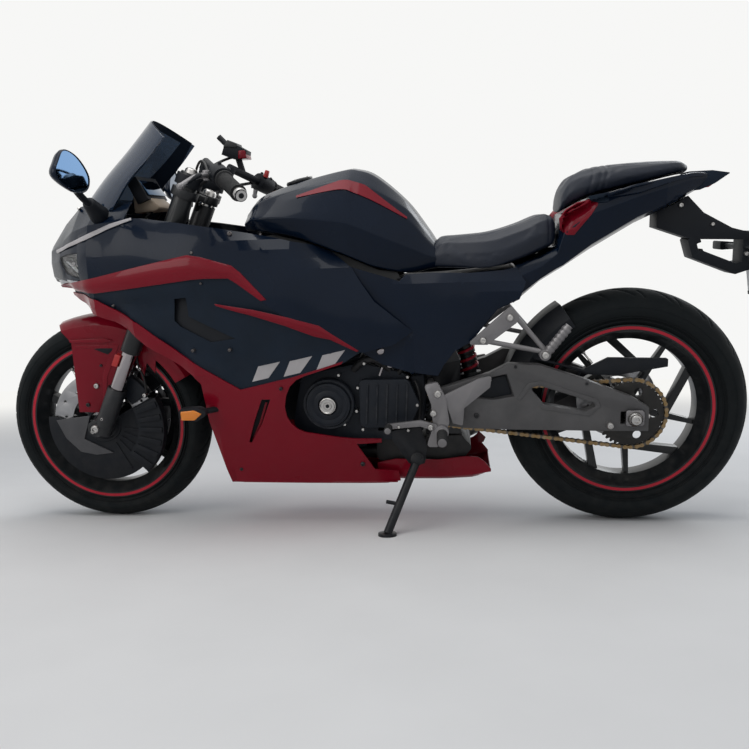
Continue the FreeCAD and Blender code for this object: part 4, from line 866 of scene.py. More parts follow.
VENT = [(-954, 391), (-931, 391), (-961, 322), (-998, 264), (-1004, 267), (-982, 326)]
left_low = low_fairing("lower_fairing_left", LOW_TOP + LOW_LEFT + LOW_FRONT)
right_low = low_fairing("lower_fairing_right", LOW_TOP + LOW_RIGHT + LOW_FRONT)
cut_by(left_low, plate("vent_left", VENT, -230, -120))
cut_by(right_low, plate("vent_right", VENT, -230, -120))
right_low.data.transform(Matrix.Scale(-1, 4, (0, 1, 0)))
cut_by(right_low, rod("outlet_hole", (-460, 50, 224), (-370, 152, 234), 27))
bevelled(left_low, 1.0, 2, 50)
bevelled(right_low, 1.0, 2, 50)
finish_piece(left_low, crimson, stands_for=("lower_fairings",), angle=16)
finish_piece(right_low, crimson, angle=16)

# %% [markdown]
# Behind each vent lies a dark pocket with a thin red fin down its middle. A flat pan closes the
# fairing underneath, between the two keels.

# %% Vent pockets, fins and belly pan
pocket = shaped("vent_pockets", [(-1010, 405), (-915, 405), (-930, 250), (-1024, 250)], lift=-16, thick=2.0)
finish_piece(both_sides(pocket), trim_black)
fin = shaped("vent_fins", [(-948, 380), (-942, 380), (-966, 318), (-994, 268), (-1000, 268), (-972, 320)],
             lift=-9, thick=1.6, round_edge=0.3)
finish_piece(both_sides(fin), crimson)


TAIL_TOP = [(-668, 186), (-620, 197), (-497, 195), (-430, 204), (-396, 203), (-372, 186), (-360, 168)]
TAIL_LOW = [(-668, 137), (-604, 134), (-485, 134), (-404, 139), (-372, 152), (-360, 159)]


def tail_place(u, v):
    """The open tray behind the fairing: a left wall, a floor and a right wall."""
    x = -668 + 308 * u
    low_z, top_z = height_on(TAIL_LOW, x), height_on(TAIL_TOP, x)
    across = 2 * v - 1
    wall = max(0.0, (abs(across) - 0.55) / 0.45)
    half = 62 + 24 * min(1.0, wall * 3)
    y = half * across / 0.55 if not wall else math.copysign(half + 3 * wall, across)
    return (x, y, low_z + (top_z - low_z) * max(0.0, wall * 1.25 - 0.25))


tail_tray = sheet_of("belly_tail", 14, 18, tail_place)
walled(tail_tray, 3)
finish_piece(bevelled(tail_tray, 0.8, 1, 50), crimson, angle=30)


def pan_place(u, v):
    """A shallow pan between the two keels."""
    x = -1068 + u * 456
    half = 110 + 5 * math.sin(math.pi * u)
    return (x, (2 * v - 1) * half, 138 + 4 * math.cos(math.pi * (v - 0.5)))


belly_pan = sheet_of("belly_pan", 8, 10, pan_place)
walled(belly_pan, 3)
finish_piece(bevelled(belly_pan, 0.8, 1), crimson)

# %% [markdown]
# The cover under the tank and seat is a dark moulding with flat facets: one runs up under the side
# panel, a ridge below the seat turns its upper edge in, and its lower corner falls away to the peg
# plates. A tray under the seat closes the view between the two covers.

# %% Frame covers and seat tray
FRAME_COVER = [(-770, 740), (-711, 722), (-592, 684), (-577, 700), (-511, 703), (-414, 699), (-328, 704),
               (-296, 711), (-274, 672), (-290, 630), (-345, 606), (-413, 523), (-454, 501), (-482, 466),
               (-498, 436), (-560, 446), (-640, 470), (-720, 520), (-770, 600)]
RIDGE = ((-592, 680), (-300, 664))
SLANT = ((-702, 677), (-547, 544))
LOW_CREASE = ((-500, 604), (-313, 643))


def cover_skin(x, z):
    """Flat facets that meet at the ridge, the slant and the lower crease."""
    above = max(0.0, past(RIDGE, x, z)) if x > -600 else 0.0
    right = max(0.0, past(SLANT, x, z))
    below = max(0.0, -past(LOW_CREASE, x, z)) if x > -560 else 0.0
    return 149 - 0.55 * min(above, 40) - 0.07 * min(right, 200) - 0.06 * min(below, 140)


frame_cover = shaped("frame_cover_shells", FRAME_COVER, skin=cover_skin, thick=4.0, cell=24,
                     creases=[RIDGE, SLANT, LOW_CREASE])
finish_piece(both_sides(frame_cover), gloss_black, stands_for=("frame_covers",), angle=8)


def tray_place(u, v):
    """A tray that rises towards the tail."""
    x = -600 + u * 310
    return (x, (2 * v - 1) * (106 - 6 * u), 686 + 20 * u * u)


tray = sheet_of("seat_tray", 4, 8, tray_place)
walled(tray, 4)
finish_piece(tray, trim_black)
lip = shaped("ledge_lips", [(-1300, 666), (-1240, 672), (-1160, 678), (-1148, 670), (-1275, 661)],
             lift=-5.0, thick=4.0, creases=[((-1300, 668), (-1150, 673))],
             sink=lambda x, z: 0.4 * max(0.0, z - 668))
finish_piece(both_sides(lip), charcoal, angle=16)

# %% [markdown]
# Tank and tail are closed shells with flat faces and tight edges. Each is lofted: a row of half
# cross sections runs along the bike, a grid is stretched over them, mirrored, closed at both ends
# and given rounded edges. Facets stay flat because points between sections run straight.

# %% Lofted shells
def loft(name, rows, along=4, per_edge=2, edge=3.0, smooth=True, ends=True, edge_angle=14):
    """Rows are x and the right half's (y, z) from the top's middle down to the bottom's."""
    edges = len(rows[0][1]) - 1
    reader = smooth_between if smooth else between

    def place(u, v):
        ring = [(x, *between(half, v)) for x, half in rows]
        x, y, z = reader(ring, u)
        return (x, -abs(y), z)

    piece = sheet_of(name, edges * per_edge, (len(rows) - 1) * along, place)
    both_sides(piece)
    if ends:
        only(piece)
        bpy.ops.object.mode_set(mode="EDIT")
        bpy.ops.mesh.select_all(action="SELECT")
        bpy.ops.mesh.remove_doubles(threshold=0.0002)
        bpy.ops.mesh.select_all(action="DESELECT")
        bpy.ops.mesh.select_mode(type="EDGE")
        bpy.ops.mesh.select_non_manifold(extend=False, use_boundary=True, use_wire=False,
                                         use_multi_face=False, use_non_contiguous=False, use_verts=False)
        bpy.ops.mesh.edge_face_add()
        bpy.ops.mesh.select_mode(type="VERT")
        bpy.ops.object.mode_set(mode="OBJECT")
    faces_out(piece)
    if edge:
        bevelled(piece, edge, 3, edge_angle)
    return piece

# %% The fuel tank
TANK_ROWS = [
    (-1000, [(0, 868), (24, 866), (44, 862), (54, 854), (84, 838), (74, 822), (0, 818)]),
    (-955, [(0, 913), (42, 909), (88, 893), (104, 876), (137, 850), (117, 820), (0, 812)]),
    (-850, [(0, 947), (48, 942), (104, 920), (124, 899), (156, 848), (138, 800), (0, 790)]),
    (-740, [(0, 971), (50, 966), (110, 938), (131, 915), (160, 836), (142, 758), (0, 745)]),
    (-700, [(0, 972), (48, 966), (106, 933), (128, 905), (157, 824), (136, 740), (0, 726)]),
    (-650, [(0, 953), (44, 946), (94, 912), (118, 882), (145, 802), (126, 719), (0, 708)]),
    (-571, [(0, 884), (38, 878), (78, 861), (98, 837), (119, 768), (106, 703), (0, 695)]),
    (-520, [(0, 816), (35, 810), (68, 797), (86, 781), (103, 745), (92, 710), (0, 703)]),
    (-496, [(0, 779), (32, 776), (64, 768), (80, 758), (93, 738), (86, 714), (0, 707)]),
]
tank = loft("fuel_tank_shell", TANK_ROWS, along=6, per_edge=3, edge=5.0, edge_angle=10)
finish_piece(tank, gloss_black, stands_for=("fuel_tank",), angle=40)

# %% The tank's stripes
STRIPE_ROWS = [(row[0], row[1][2], row[1][3]) for row in TANK_ROWS[2:7]]


def stripe_place(u, v):
    """Between the two side creases, narrow at both ends and a hair above the paint."""
    width = min(1.0, 0.25 + 3.0 * u, 0.2 + 2.2 * (1 - u))
    rows = [(x, *[l + (h - l) * v * width for h, l in zip(upper, lower)]) for x, upper, lower in STRIPE_ROWS]
    x, y, z = smooth_between(rows, u)
    return (x, -(y + 1.8), z + 1.0)


stripe = sheet_of("tank_stripes", 3, 40, stripe_place)
both_sides(stripe)
modify(stripe, "SOLIDIFY", thickness=0.8 * MM, offset=0)
finish_piece(stripe, crimson)

# %% [markdown]
# The filler cap is a disc with a ring and a hinged flap. It is spun as one profile, leaned onto the
# tank's top, and carries six small screws.

# %% Filler cap
CAP = [(0, 0.1), (0, 34), (3, 36), (7, 36), (9, 34), (9, 29), (7, 28), (7, 24), (11, 22), (12, 8), (12, 0.1)]
cap = spun("filler_cap", CAP, 40)
cap_turn = Matrix.Rotation(math.radians(90), 4, "X") @ Matrix.Rotation(math.radians(180), 4, "Y")
slope = Matrix.Rotation(math.radians(-14), 4, "Y")
cap.data.transform(Matrix.Translation(Vector((-862, 0, 941)) * MM) @ slope @ cap_turn)
finish_piece(cap, frame_black, angle=30)
for i in range(6):
    turn = math.radians(60 * i + 20)
    at = Vector((-862 + 32 * math.cos(turn), 32 * math.sin(turn),
                 949 + 32 * math.cos(turn) * math.tan(math.radians(14))))
    screw = rod(f"filler_screw_{i}", at, at + Vector((-0.9, 0, 3.4)), 3.2, 2.6, 12)
    finish_piece(bevelled(screw, 0.5, 2), bolt_steel)

# %% [markdown]
# The tail rises steeply between the seats, then runs back to a thin tip with a sharp wing edge along
# each side. A red moulding is let into its front corners, with a small grey cover above.

# %% Tail cowl
TAIL_ROWS = [
    (-300, [(0, 716), (60, 716), (104, 712), (120, 682), (112, 632), (60, 613), (0, 613)]),
    (-235, [(0, 738), (66, 738), (110, 732), (122, 710), (112, 680), (60, 668), (0, 668)]),
    (-196, [(0, 757), (68, 757), (108, 754), (120, 740), (111, 704), (60, 692), (0, 692)]),
    (-180, [(0, 838), (56, 838), (86, 834), (118, 790), (112, 712), (60, 701), (0, 701)]),
    (-110, [(0, 874), (60, 874), (103, 869), (119, 838), (108, 762), (56, 746), (0, 746)]),
    (0, [(0, 901), (60, 901), (104, 899), (113, 874), (98, 824), (50, 809), (0, 809)]),
    (70, [(0, 916), (52, 916), (92, 916), (97, 893), (84, 852), (42, 840), (0, 840)]),
    (130, [(0, 927), (36, 927), (66, 926), (68, 910), (56, 880), (30, 871), (0, 871)]),
    (178, [(0, 927), (22, 927), (40, 924), (41, 916), (34, 901), (18, 897), (0, 897)]),
    (205, [(0, 924), (10, 924), (22, 922), (24, 919), (20, 913), (10, 911), (0, 911)]),
]
tail = loft("tail_shell", TAIL_ROWS, along=3, per_edge=2, edge=2.5, smooth=False, edge_angle=12)
finish_piece(tail, gloss_black, stands_for=("tail_cowl",), angle=40)

# %% Wings and inserts on the tail
def side_y(rows, x, z, part=slice(None)):
    """The side of a lofted shell at a place in the side view, read from a part of its ring."""
    i = max([k for k in range(len(rows) - 1) if rows[k][0] <= x] or [0])
    a, b = rows[i], rows[i + 1]
    share = (x - a[0]) / (b[0] - a[0])
    ring = [tuple(p + (q - p) * share for p, q in zip(m, n)) for m, n in zip(a[1], b[1])]
    for (y0, z0), (y1, z1) in zip(ring[part], ring[part][1:]):
        if z1 <= z <= z0:
            return y1 + (y0 - y1) * (z - z1) / max(z0 - z1, 0.001)
    return ring[3][0]


def on_tail(name, rungs, lift, thick, across=5, along=4):
    """A moulding on the tail's side, between its upper and its lower edge."""
    return panel(name, rungs, across, along, lift, thick, 0.8,
                 skin=lambda x, z: side_y(TAIL_ROWS, x, z, slice(2, 6)))


RED_INSERT = [((-194, 827), (-190, 799)), ((-176, 846), (-174, 786)), ((-150, 862), (-156, 785)),
              ((-120, 868), (-122, 826)), ((-98, 862), (-100, 856))]
red_insert = on_tail("tail_red_inserts", RED_INSERT, 1.5, 3.0)
finish_piece(red_insert, crimson)
RIDGE_LINE = [((-192, 826), (-190, 819)), ((-160, 846), (-162, 838)), ((-122, 870), (-124, 864))]
ridge = on_tail("tail_red_ridges", RIDGE_LINE, 4.0, 3.5, 3, 6)
finish_piece(ridge, crimson)
GREY_COVER = [((-124, 878), (-120, 868)), ((-100, 882), (-98, 862)), ((-76, 886), (-74, 864)),
              ((-70, 884), (-70, 880))]
grey_cover = on_tail("tail_grey_covers", GREY_COVER, 2.5, 3.5)
finish_piece(grey_cover, charcoal)
wing = on_tail("tail_wings", [((-80, 884), (-78, 874)), ((0, 900), (0, 883)), ((70, 915), (70, 904)),
                              ((130, 926), (130, 917)), ((178, 925), (178, 920))], 6.0, 5.0)
finish_piece(wing, gloss_black)

# %% [markdown]
# The seats are foam under stretched vinyl. A lofted block gives each its outline. Cloth with a
# little pressure, held at its base, rounds the edges as the foam does, and the cap keeps it within
# its place. The seams come afterwards, because the remesh would erase them.

# %% Seats by cloth
CLOTH_FRAMES = 20


def puffed(piece, voxel, pressure, cap, hold_below):
    """Remesh a block finely, let it swell under a sewn skin, and cap how far any point moves."""
    only(piece)
    piece.data.remesh_voxel_size = voxel * MM
    bpy.ops.object.voxel_remesh()
    rest = [vertex.co.copy() for vertex in piece.data.vertices]
    group = piece.vertex_groups.new(name="base")
    held = [v.index for v in piece.data.vertices if hold_below(v.co.x / MM, v.co.y / MM, v.co.z / MM)]
    group.add(held, 1.0, "REPLACE")
    cloth = piece.modifiers.new("vinyl", "CLOTH")
    for key, value in {"vertex_group_mass": "base", "quality": 6, "use_pressure": True,
                       "uniform_pressure_force": pressure, "tension_stiffness": 18,
                       "compression_stiffness": 12, "shear_stiffness": 8, "bending_stiffness": 2.0}.items():
        setattr(cloth.settings, key, value)
    cloth.settings.effector_weights.gravity = 0
    cloth.collision_settings.use_self_collision = False
    cloth.point_cache.frame_start, cloth.point_cache.frame_end = 1, CLOTH_FRAMES
    for step in range(1, CLOTH_FRAMES + 1):
        bpy.context.scene.frame_set(step)
    only(piece)
    bpy.ops.object.modifier_apply(modifier="vinyl")
    bpy.context.scene.frame_set(1)
    for vertex, home in zip(piece.data.vertices, rest):
        move = vertex.co - home
        if move.length > cap * MM:
            vertex.co = home + move.normalized() * cap * MM
    modify(piece, "SMOOTH", factor=0.5, iterations=4)
    return piece


def sewn(piece, seams, depth, width):
    """Pull the skin in along seams. Each seam is a test that gives a distance in millimetres."""
    piece.data.update()
    for vertex in piece.data.vertices:
        place = vertex.co / MM
        for seam in seams:
            away = seam(place)
            if away is not None and abs(away) < width:
                fall = 0.5 + 0.5 * math.cos(math.pi * away / width)
                vertex.co -= vertex.normal * depth * fall * MM
    piece.data.update()
    return piece

# %% The rider's seat
RIDER_ROWS = [
    (-506, [(0, 776), (40, 775), (80, 766), (92, 742), (88, 714), (0, 709)]),
    (-480, [(0, 786), (50, 785), (90, 775), (101, 746), (96, 714), (0, 708)]),
    (-440, [(0, 787), (58, 787), (100, 777), (111, 747), (105, 713), (0, 707)]),
    (-363, [(0, 793), (80, 793), (120, 780), (129, 748), (119, 711), (0, 704)]),
    (-290, [(0, 812), (84, 812), (124, 800), (133, 767), (123, 733), (0, 716)]),
    (-235, [(0, 833), (78, 833), (116, 820), (125, 789), (115, 754), (0, 738)]),
    (-205, [(0, 834), (62, 834), (98, 824), (107, 796), (100, 764), (0, 752)]),
    (-197, [(0, 826), (56, 826), (88, 816), (96, 796), (90, 772), (0, 764)]),
]
rider_seat = loft("rider_seat_pad", RIDER_ROWS, along=4, per_edge=2, edge=0)
puffed(rider_seat, 5.0, 4.0, 5.0, lambda x, y, z: z < 712 + max(0.0, (x + 340) * 0.34))


def rider_edge_seam(p):
    """A seam that runs along the seat a hand's width in from its side."""
    return abs(p.y) - 84 if p.z > 745 and p.x < -230 else None


def rider_back_seam(p):
    """A seam across the seat's raised rear."""
    return p.x + 216 if p.z > 770 else None


sewn(rider_seat, [rider_edge_seam, rider_back_seam], 1.6, 4.5)
modify(rider_seat, "SUBSURF", levels=1, render_levels=1)
finish_piece(rider_seat, vinyl, stands_for=("rider_seat",), angle=60, tidy=False)

# %% The pillion seat
PILLION_ROWS = [
    (-187, [(0, 868), (30, 866), (56, 858), (62, 848), (40, 842), (0, 842)]),
    (-180, [(0, 898), (44, 896), (74, 886), (84, 866), (70, 848), (0, 842)]),
    (-160, [(0, 930), (58, 929), (86, 916), (94, 890), (86, 866), (0, 852)]),
    (-120, [(0, 945), (64, 944), (92, 931), (100, 904), (92, 882), (0, 872)]),
    (-85, [(0, 950), (64, 949), (94, 937), (102, 914), (94, 892), (0, 882)]),
    (20, [(0, 957), (58, 956), (86, 947), (94, 930), (86, 914), (0, 906)]),
    (100, [(0, 960), (44, 959), (70, 953), (78, 942), (70, 931), (0, 924)]),
    (130, [(0, 952), (24, 951), (40, 946), (44, 940), (40, 934), (0, 928)]),
]
pillion = loft("pillion_seat_pad", PILLION_ROWS, along=4, per_edge=2, edge=0)
puffed(pillion, 4.5, 4.0, 5.0, lambda x, y, z: z < 858 + (x + 187) * 0.36)


def pillion_fold(at):
    """A sewn fold across the seat where its steep front meets its flat top."""
    return lambda p: p.x - at - 0.25 * (p.z - 920) if p.z > 880 else None


sewn(pillion, [pillion_fold(-92), pillion_fold(-78), pillion_fold(-112)], 2.0, 5.0)
sewn(pillion, [lambda p: abs(p.y) - 66 if p.z > 905 and -70 < p.x < 100 else None], 1.6, 4.5)
modify(pillion, "SUBSURF", levels=1, render_levels=1)
finish_piece(pillion, vinyl, stands_for=("pillion_seat",), angle=60, tidy=False)

# %% [markdown]
# The nose is one shell with a pointed tip. Its upper faces run up to the screen, its side faces go
# down to the red bands, and it is open behind for the instruments. It is lofted like the tank, given
# a wall, and the headlamp openings are then cut through with a slab of their outline.

# %% The nose shell
NOSE_ROWS = [
    (-1578, [(0, 772), (4, 771), (6, 769), (7, 766), (6, 762), (4, 760), (0, 759)]),
    (-1571, [(0, 799), (12, 794), (25, 780), (32, 748), (26, 712), (12, 697), (0, 694)]),
    (-1520, [(0, 857), (24, 853), (64, 802), (86, 756), (74, 704), (30, 685), (0, 682)]),
    (-1465, [(0, 905), (40, 899), (106, 832), (132, 760), (121, 698), (60, 682), (0, 680)]),
    (-1400, [(0, 919), (64, 907), (146, 848), (172, 766), (168, 722), (166, 714), (165, 708)]),
    (-1345, [(58, 913), (84, 904), (158, 854), (183, 768), (181, 734), (180, 728), (179, 722)]),
    (-1290, [(106, 906), (122, 899), (167, 865), (191, 790), (191, 756), (191, 750), (190, 744)]),
]
LAMP = [(-1516, 766), (-1481, 775), (-1390, 780), (-1395, 731), (-1444, 712), (-1500, 724)]


def nose_shell(name):
    """The whole nose as a thin open shell."""
    shell = loft(name, NOSE_ROWS, along=3, per_edge=2, edge=0, smooth=False, ends=False)
    modify(shell, "SOLIDIFY", thickness=3.5 * MM, offset=-1)
    return shell


nose = nose_shell("nose_shell")
cut_by(nose, plate("lamp_left", LAMP, -400, -20), plate("lamp_right", LAMP, 20, 400))
finish_piece(bevelled(nose, 1.2, 2, 12), gloss_black, stands_for=("nose_cowl",), angle=30)

# %% [markdown]
# Each lamp's cover is the piece of shell that the opening took away: the same shell again, this
# time keeping what lies inside the outline. Behind it sit a dark bowl, a projector lens in a bright
# ring and a thin strip lamp along the top.

# %% Headlamp covers
cover = nose_shell("headlamp_covers")
keep = join([plate("keep_left", LAMP, -400, -20), plate("keep_right", LAMP, 20, 400)], "keep")
faces_out(keep)
faces_out(cover)
modify(cover, "BOOLEAN", object=keep, operation="INTERSECT", solver="EXACT")
bpy.data.objects.remove(keep)
finish_piece(cover, lamp_cover, stands_for=("headlamps",), angle=25)

# %% Lamp bowls, lenses and strips
def on_nose(x, z):
    """The shell's distance from the middle plane where the lamps are."""
    return side_y(NOSE_ROWS, x, z)


middle_x = sum(p[0] for p in LAMP) / len(LAMP)
middle_z = sum(p[1] for p in LAMP) / len(LAMP)


def bowl_place(u, v):
    """From the lamp's middle, deep inside, to the edge of its opening."""
    t = u * len(LAMP)
    a, b = LAMP[int(t) % len(LAMP)], LAMP[(int(t) + 1) % len(LAMP)]
    edge_x, edge_z = (a[i] + (b[i] - a[i]) * (t % 1) for i in (0, 1))
    near = 1 - (1 - v) ** 2
    x, z = middle_x + (edge_x - middle_x) * near, middle_z + (edge_z - middle_z) * near
    return (x, -(on_nose(edge_x, edge_z) - 4.5 - 46 * (1 - v) ** 0.8), z)


bowl = sheet_of("lamp_bowls", 5, 24, bowl_place)
finish_piece(both_sides(bowl), trim_black)
LENS = [(0, 0.05), (-2, 0.6), (-6, 0.9), (-9, 1), (-18, 1), (-18, 0.05)]
for side, where in ((-1, "left"), (1, "right")):
    for k, (x, y, z, r) in enumerate(((-1462, 92, 744, 17), (-1424, 118, 752, 14))):
        turn = Matrix.Rotation(math.radians(270 - side * 28), 4, "Z")
        at = Matrix.Translation(Vector((x, side * y, z)) * MM) @ turn
        eye = [(y, r * share if share > 0.05 else share) for y, share in LENS]
        rim = [(-10, r + 0.4), (-5, r + 1.5), (-5, r + 4), (-18, r + 5), (-18, r + 0.4)]
        for kind, profile, material, slot in (("lens", eye[::-1], lens_glass, "lamp_lens"),
                                              ("ring", rim, chrome, "cast_alloy")):
            piece = spun(f"lamp_{kind}_{k}_{where}", profile, 28)
            piece.data.transform(at)
            finish_piece(piece, material)

strip_light = plate("strip_lights", [(-1492, 755), (-1484, 755), (-1426, 720), (-1434, 718)], -118, -74)
for vertex in strip_light.data.vertices:
    x, z = vertex.co.x / MM, vertex.co.z / MM
    near = 6 if vertex.co.y < -0.1 else 14
    vertex.co.y = -(on_nose(x, z) - near) * MM
both_sides(strip_light)
finish_piece(bevelled(strip_light, 0.8, 2), silver_paint)

# %% Chin lips and brow strips of painted highlight
chin = panel("chin_lips", [((-1551, 702), (-1556, 690)), ((-1500, 706), (-1500, 697)),
                           ((-1449, 704), (-1449, 699))], 3, 5, lift=2.0, thick=3.0)
finish_piece(chin, silver_paint)
# The brow strips are a painted highlight: pale strips along the nose's upper edge for the line of light it
# catches.
brow_highlight = panel("painted_brow_highlights", [((-1540, 785), (-1531, 777)), ((-1470, 804), (-1470, 794)),
                             ((-1402, 824), (-1402, 811)), ((-1333, 850), (-1333, 838)),
                             ((-1270, 864), (-1268, 858))], 3, 4, lift=1.6, thick=1.5, round_edge=0.5)
finish_piece(brow_highlight, pale_print_and_highlight)

# %% [markdown]
# The screen is a smoked sheet that curves round the rider's hands. A light band of bare plastic runs
# along its edges, where the tint stops, and four screws hold its foot.

# %% Windscreen
SCREEN_ROWS = [(-1489, 872, 116, 140, -6), (-1406, 966, 122, 114, 12), (-1326, 1044, 122, 92, 34),
               (-1255, 1118, 118, 68, 56)]


def screen_place(u, v):
    """The screen's sheet: u runs up it and v across it."""
    x, z, half, sag, fall = smooth_between(SCREEN_ROWS, u)
    share = 2 * v - 1
    back = sag * share * share
    return (x + back + 2.5, share * half, z - fall * share * share)


screen = sheet_of("windscreen_sheet", 24, 18, screen_place)
walled(screen, 4)
finish_piece(bevelled(screen, 1.2, 2, 50), screen_tint, stands_for=("windscreen",), angle=50)


def screen_edge(u, v):
    """A strip inside the screen that follows its near edge, its top and its far edge."""
    turns = [(0.05, 0.0), (0.55, 0.0), (1.0, 0.03), (1.0, 0.5), (1.0, 0.97), (0.55, 1.0), (0.05, 1.0)]
    inner = [(0.05, 0.13), (0.5, 0.11), (0.93, 0.10), (0.94, 0.5), (0.93, 0.90), (0.5, 0.89), (0.05, 0.87)]
    a, b = between(turns, u), between(inner, u)
    x, y, z = screen_place(a[0] + (b[0] - a[0]) * v, a[1] + (b[1] - a[1]) * v)
    return (x + 3.4, y * 0.995, z)


screen_band = sheet_of("windscreen_band", 2, 60, screen_edge)
walled(screen_band, 1.0)
finish_piece(screen_band, charcoal, angle=50)
for i, (x, y, z) in enumerate(((-1462, -52, 893), (-1462, 52, 893), (-1400, -100, 909), (-1400, 100, 909))):
    screw = rod(f"screen_screw_{i}", (x, y, z), (x - 5, y, z + 4), 5, 4, 14)
    finish_piece(bevelled(screw, 0.8, 2), bolt_steel)

# %% [markdown]
# A mirror is a rounded six-sided pod, closed in front and glazed behind. The pod is a row of rings,
# each a scaled copy of the outline, so it is lofted by hand with a sheet that closes on itself.

# %% Mirrors
POD_X, POD_Y, POD_Z = -1338, -330, 972
POD = [(-66, -16), (-52, 20), (-24, 46), (26, 31), (64, -10), (50, -44), (-2, -48)]
POD_RINGS = [(-23, 0.30), (-20, 0.60), (-12, 0.86), (-2, 0.99), (6, 1.0), (8, 0.97), (5.5, 0.93)]


def pod_point(u, depth, scale):
    """A point of the pod's outline, scaled about its middle and set back by a depth."""
    t = (u % 1.0) * len(POD)
    i = int(t)
    a, b, c, d = (POD[(i + k) % len(POD)] for k in (-1, 0, 1, 2))
    s = t - i
    y, z = curve_at(a, b, c, d, s)
    return (POD_X + depth + 0.12 * y, POD_Y + y * scale, POD_Z + z * scale)


def pod_place(u, v):
    """The pod's rings, from its closed front to the rim of the glass."""
    depth, scale = between(POD_RINGS, v)
    return pod_point(u, depth, scale)


def flat_disc(depth, share):
    """A flat face inside the pod's outline, so that the glass mirrors without a wave."""
    def place(u, v):
        x, y, z = pod_point(u, depth, 1.0)
        s = share * v + 0.001
        front = POD_X + depth
        return (front + (x - front) * s, POD_Y + (y - POD_Y) * s, POD_Z + (z - POD_Z) * s)
    return place


STALK = [(-1366, -150, 888), (-1370, -196, 904), (-1373, -232, 926), (-1364, -270, 942), (-1350, -300, 962)]
for side, sign in (("left", 1), ("right", -1)):
    pod = sheet_of(f"mirror_pod_{side}", 12, 42, pod_place)
    front = sheet_of(f"mirror_front_{side}", 4, 42,
                     lambda u, v: pod_point(u, -23 - 2 * (1 - v), 0.3 * v + 0.001))
    pod = join([pod, front], f"mirror_pod_{side}")
    glass = sheet_of(f"mirror_glass_{side}", 6, 42, flat_disc(5.6, 0.955))
    stalk = tube(f"mirror_stalk_{side}", STALK, 9)
    foot = bevelled(rod(f"mirror_foot_{side}", (-1368, -134, 872), (-1372, -188, 906), 27, 15, 28), 6.0, 4)
    for piece in (pod, glass, stalk, foot):
        piece.data.transform(Matrix.Scale(sign, 4, (0, 1, 0)))
    finish_piece(pod, gloss_black, ("mirrors",) if sign == 1 else (), angle=50)
    finish_piece(glass, mirror_glass)
    finish_piece(stalk, trim_black)
    finish_piece(foot, trim_black, angle=60)
print("mirrors done")

# %% [markdown]
# Bolts hold everything together and there are dozens, so one is spun as a low dome with a round
# recess, and every other one is a copy that is turned, scaled and moved. Rows of them are joined.

# %% Bolt heads
BOLT_PROFILE = [(-3.0, 0.05), (-3.0, 1.0), (0.35, 1.0), (0.62, 0.80), (0.68, 0.52), (0.25, 0.44), (0.2, 0.05)]


def bolt_row(name, rows, material=bolt_steel, mirrored=True, body="chassis"):
    """One object of many bolts. A row is a place, an outward direction and a radius in millimetres,
    or only (x, y, z, radius) for a bolt that faces left."""
    pattern = spun("bolt_pattern", BOLT_PROFILE[::-1], 16)
    pattern.data.transform(Matrix.Scale(1 / MM, 4))
    faces_out(pattern)
    heads = []
    for row in rows:
        place, out, radius = row if len(row) == 3 else (row[:3], (0, -1, 0), row[3])
        for side in ((1, -1) if mirrored else (1,)):
            head = copy_of(name, pattern.data)
            at, towards = Vector(place), Vector(out)
            at.y, towards.y = side * at.y, side * towards.y
            turn = towards.to_track_quat("Y", "Z").to_matrix().to_4x4()
            head.data.transform(Matrix.Translation(at * MM) @ turn @ Matrix.Scale(radius * MM, 4))
            heads.append(head)
    bpy.data.objects.remove(pattern)
    return finish_piece(join(heads, name), material, body=body, angle=40)


def on_skin(x, z, radius, lift):
    """A bolt on the left side's skin, facing out of it."""
    y = skin_y(x, z) + lift
    lean_z = skin_y(x, z + 10) - skin_y(x, z - 10)
    lean_x = skin_y(x + 10, z) - skin_y(x - 10, z)
    return ((x, -y, z), (-lean_x / 20, -1, -lean_z / 20), radius)


bolt_row("side_panel_bolts", [on_skin(-1125, 523, 4.4, -3), on_skin(-1027, 524, 4.4, -3),
                              on_skin(-1107, 772, 3.8, 2), on_skin(-1088, 695, 3.2, -2),
                              on_skin(-1016, 815, 6.0, 1), on_skin(-1340, 640, 3.4, -4)],
         material=pipe_steel)
bolt_row("fairing_bolts", [on_skin(-704, 195, 6.0, 4), on_skin(-1040, 180, 4.5, 4),
                           on_skin(-900, 420, 4.5, 4)], material=frame_black)

# %% [markdown]
# Soft pipes and cables on a bike are clipped at both ends, so they are drawn as bent bars that
# follow a few points. `both` also makes the right one.

# %% Pipes and cables
def pipe(name, points, radius, material=hose_rubber, both=False, body="chassis"):
    """A pipe along points, in millimetres."""
    bar = tube(name, points, radius)
    if both:
        both_sides(bar)
    return finish_piece(bar, material, body=body, angle=60)


def block(name, outline, y0, y1, edge, material, both=False, stands_for=(), body="chassis"):
    """A rounded plate of a side view outline."""
    piece = plate(name, outline, y0, y1)
    faces_out(piece)
    bevelled(piece, edge, 3, 30)
    if both:
        piece = with_twin(piece)
    return finish_piece(piece, material, stands_for=stands_for, body=body, angle=30)


print("small part helpers ready")

# %% [markdown]
# The tyres have a round crown with grooves that sweep back from the middle. A tyre is one sheet:
# `u` runs round the wheel and `v` from bead to bead, and `groove_depth` sinks the points that lie in
# a groove. Cutting every groove with a boolean would take far longer and leave untidy faces.

# %% Tyre outlines
CROWN_POINTS, SIDE_POINTS = 28, 6


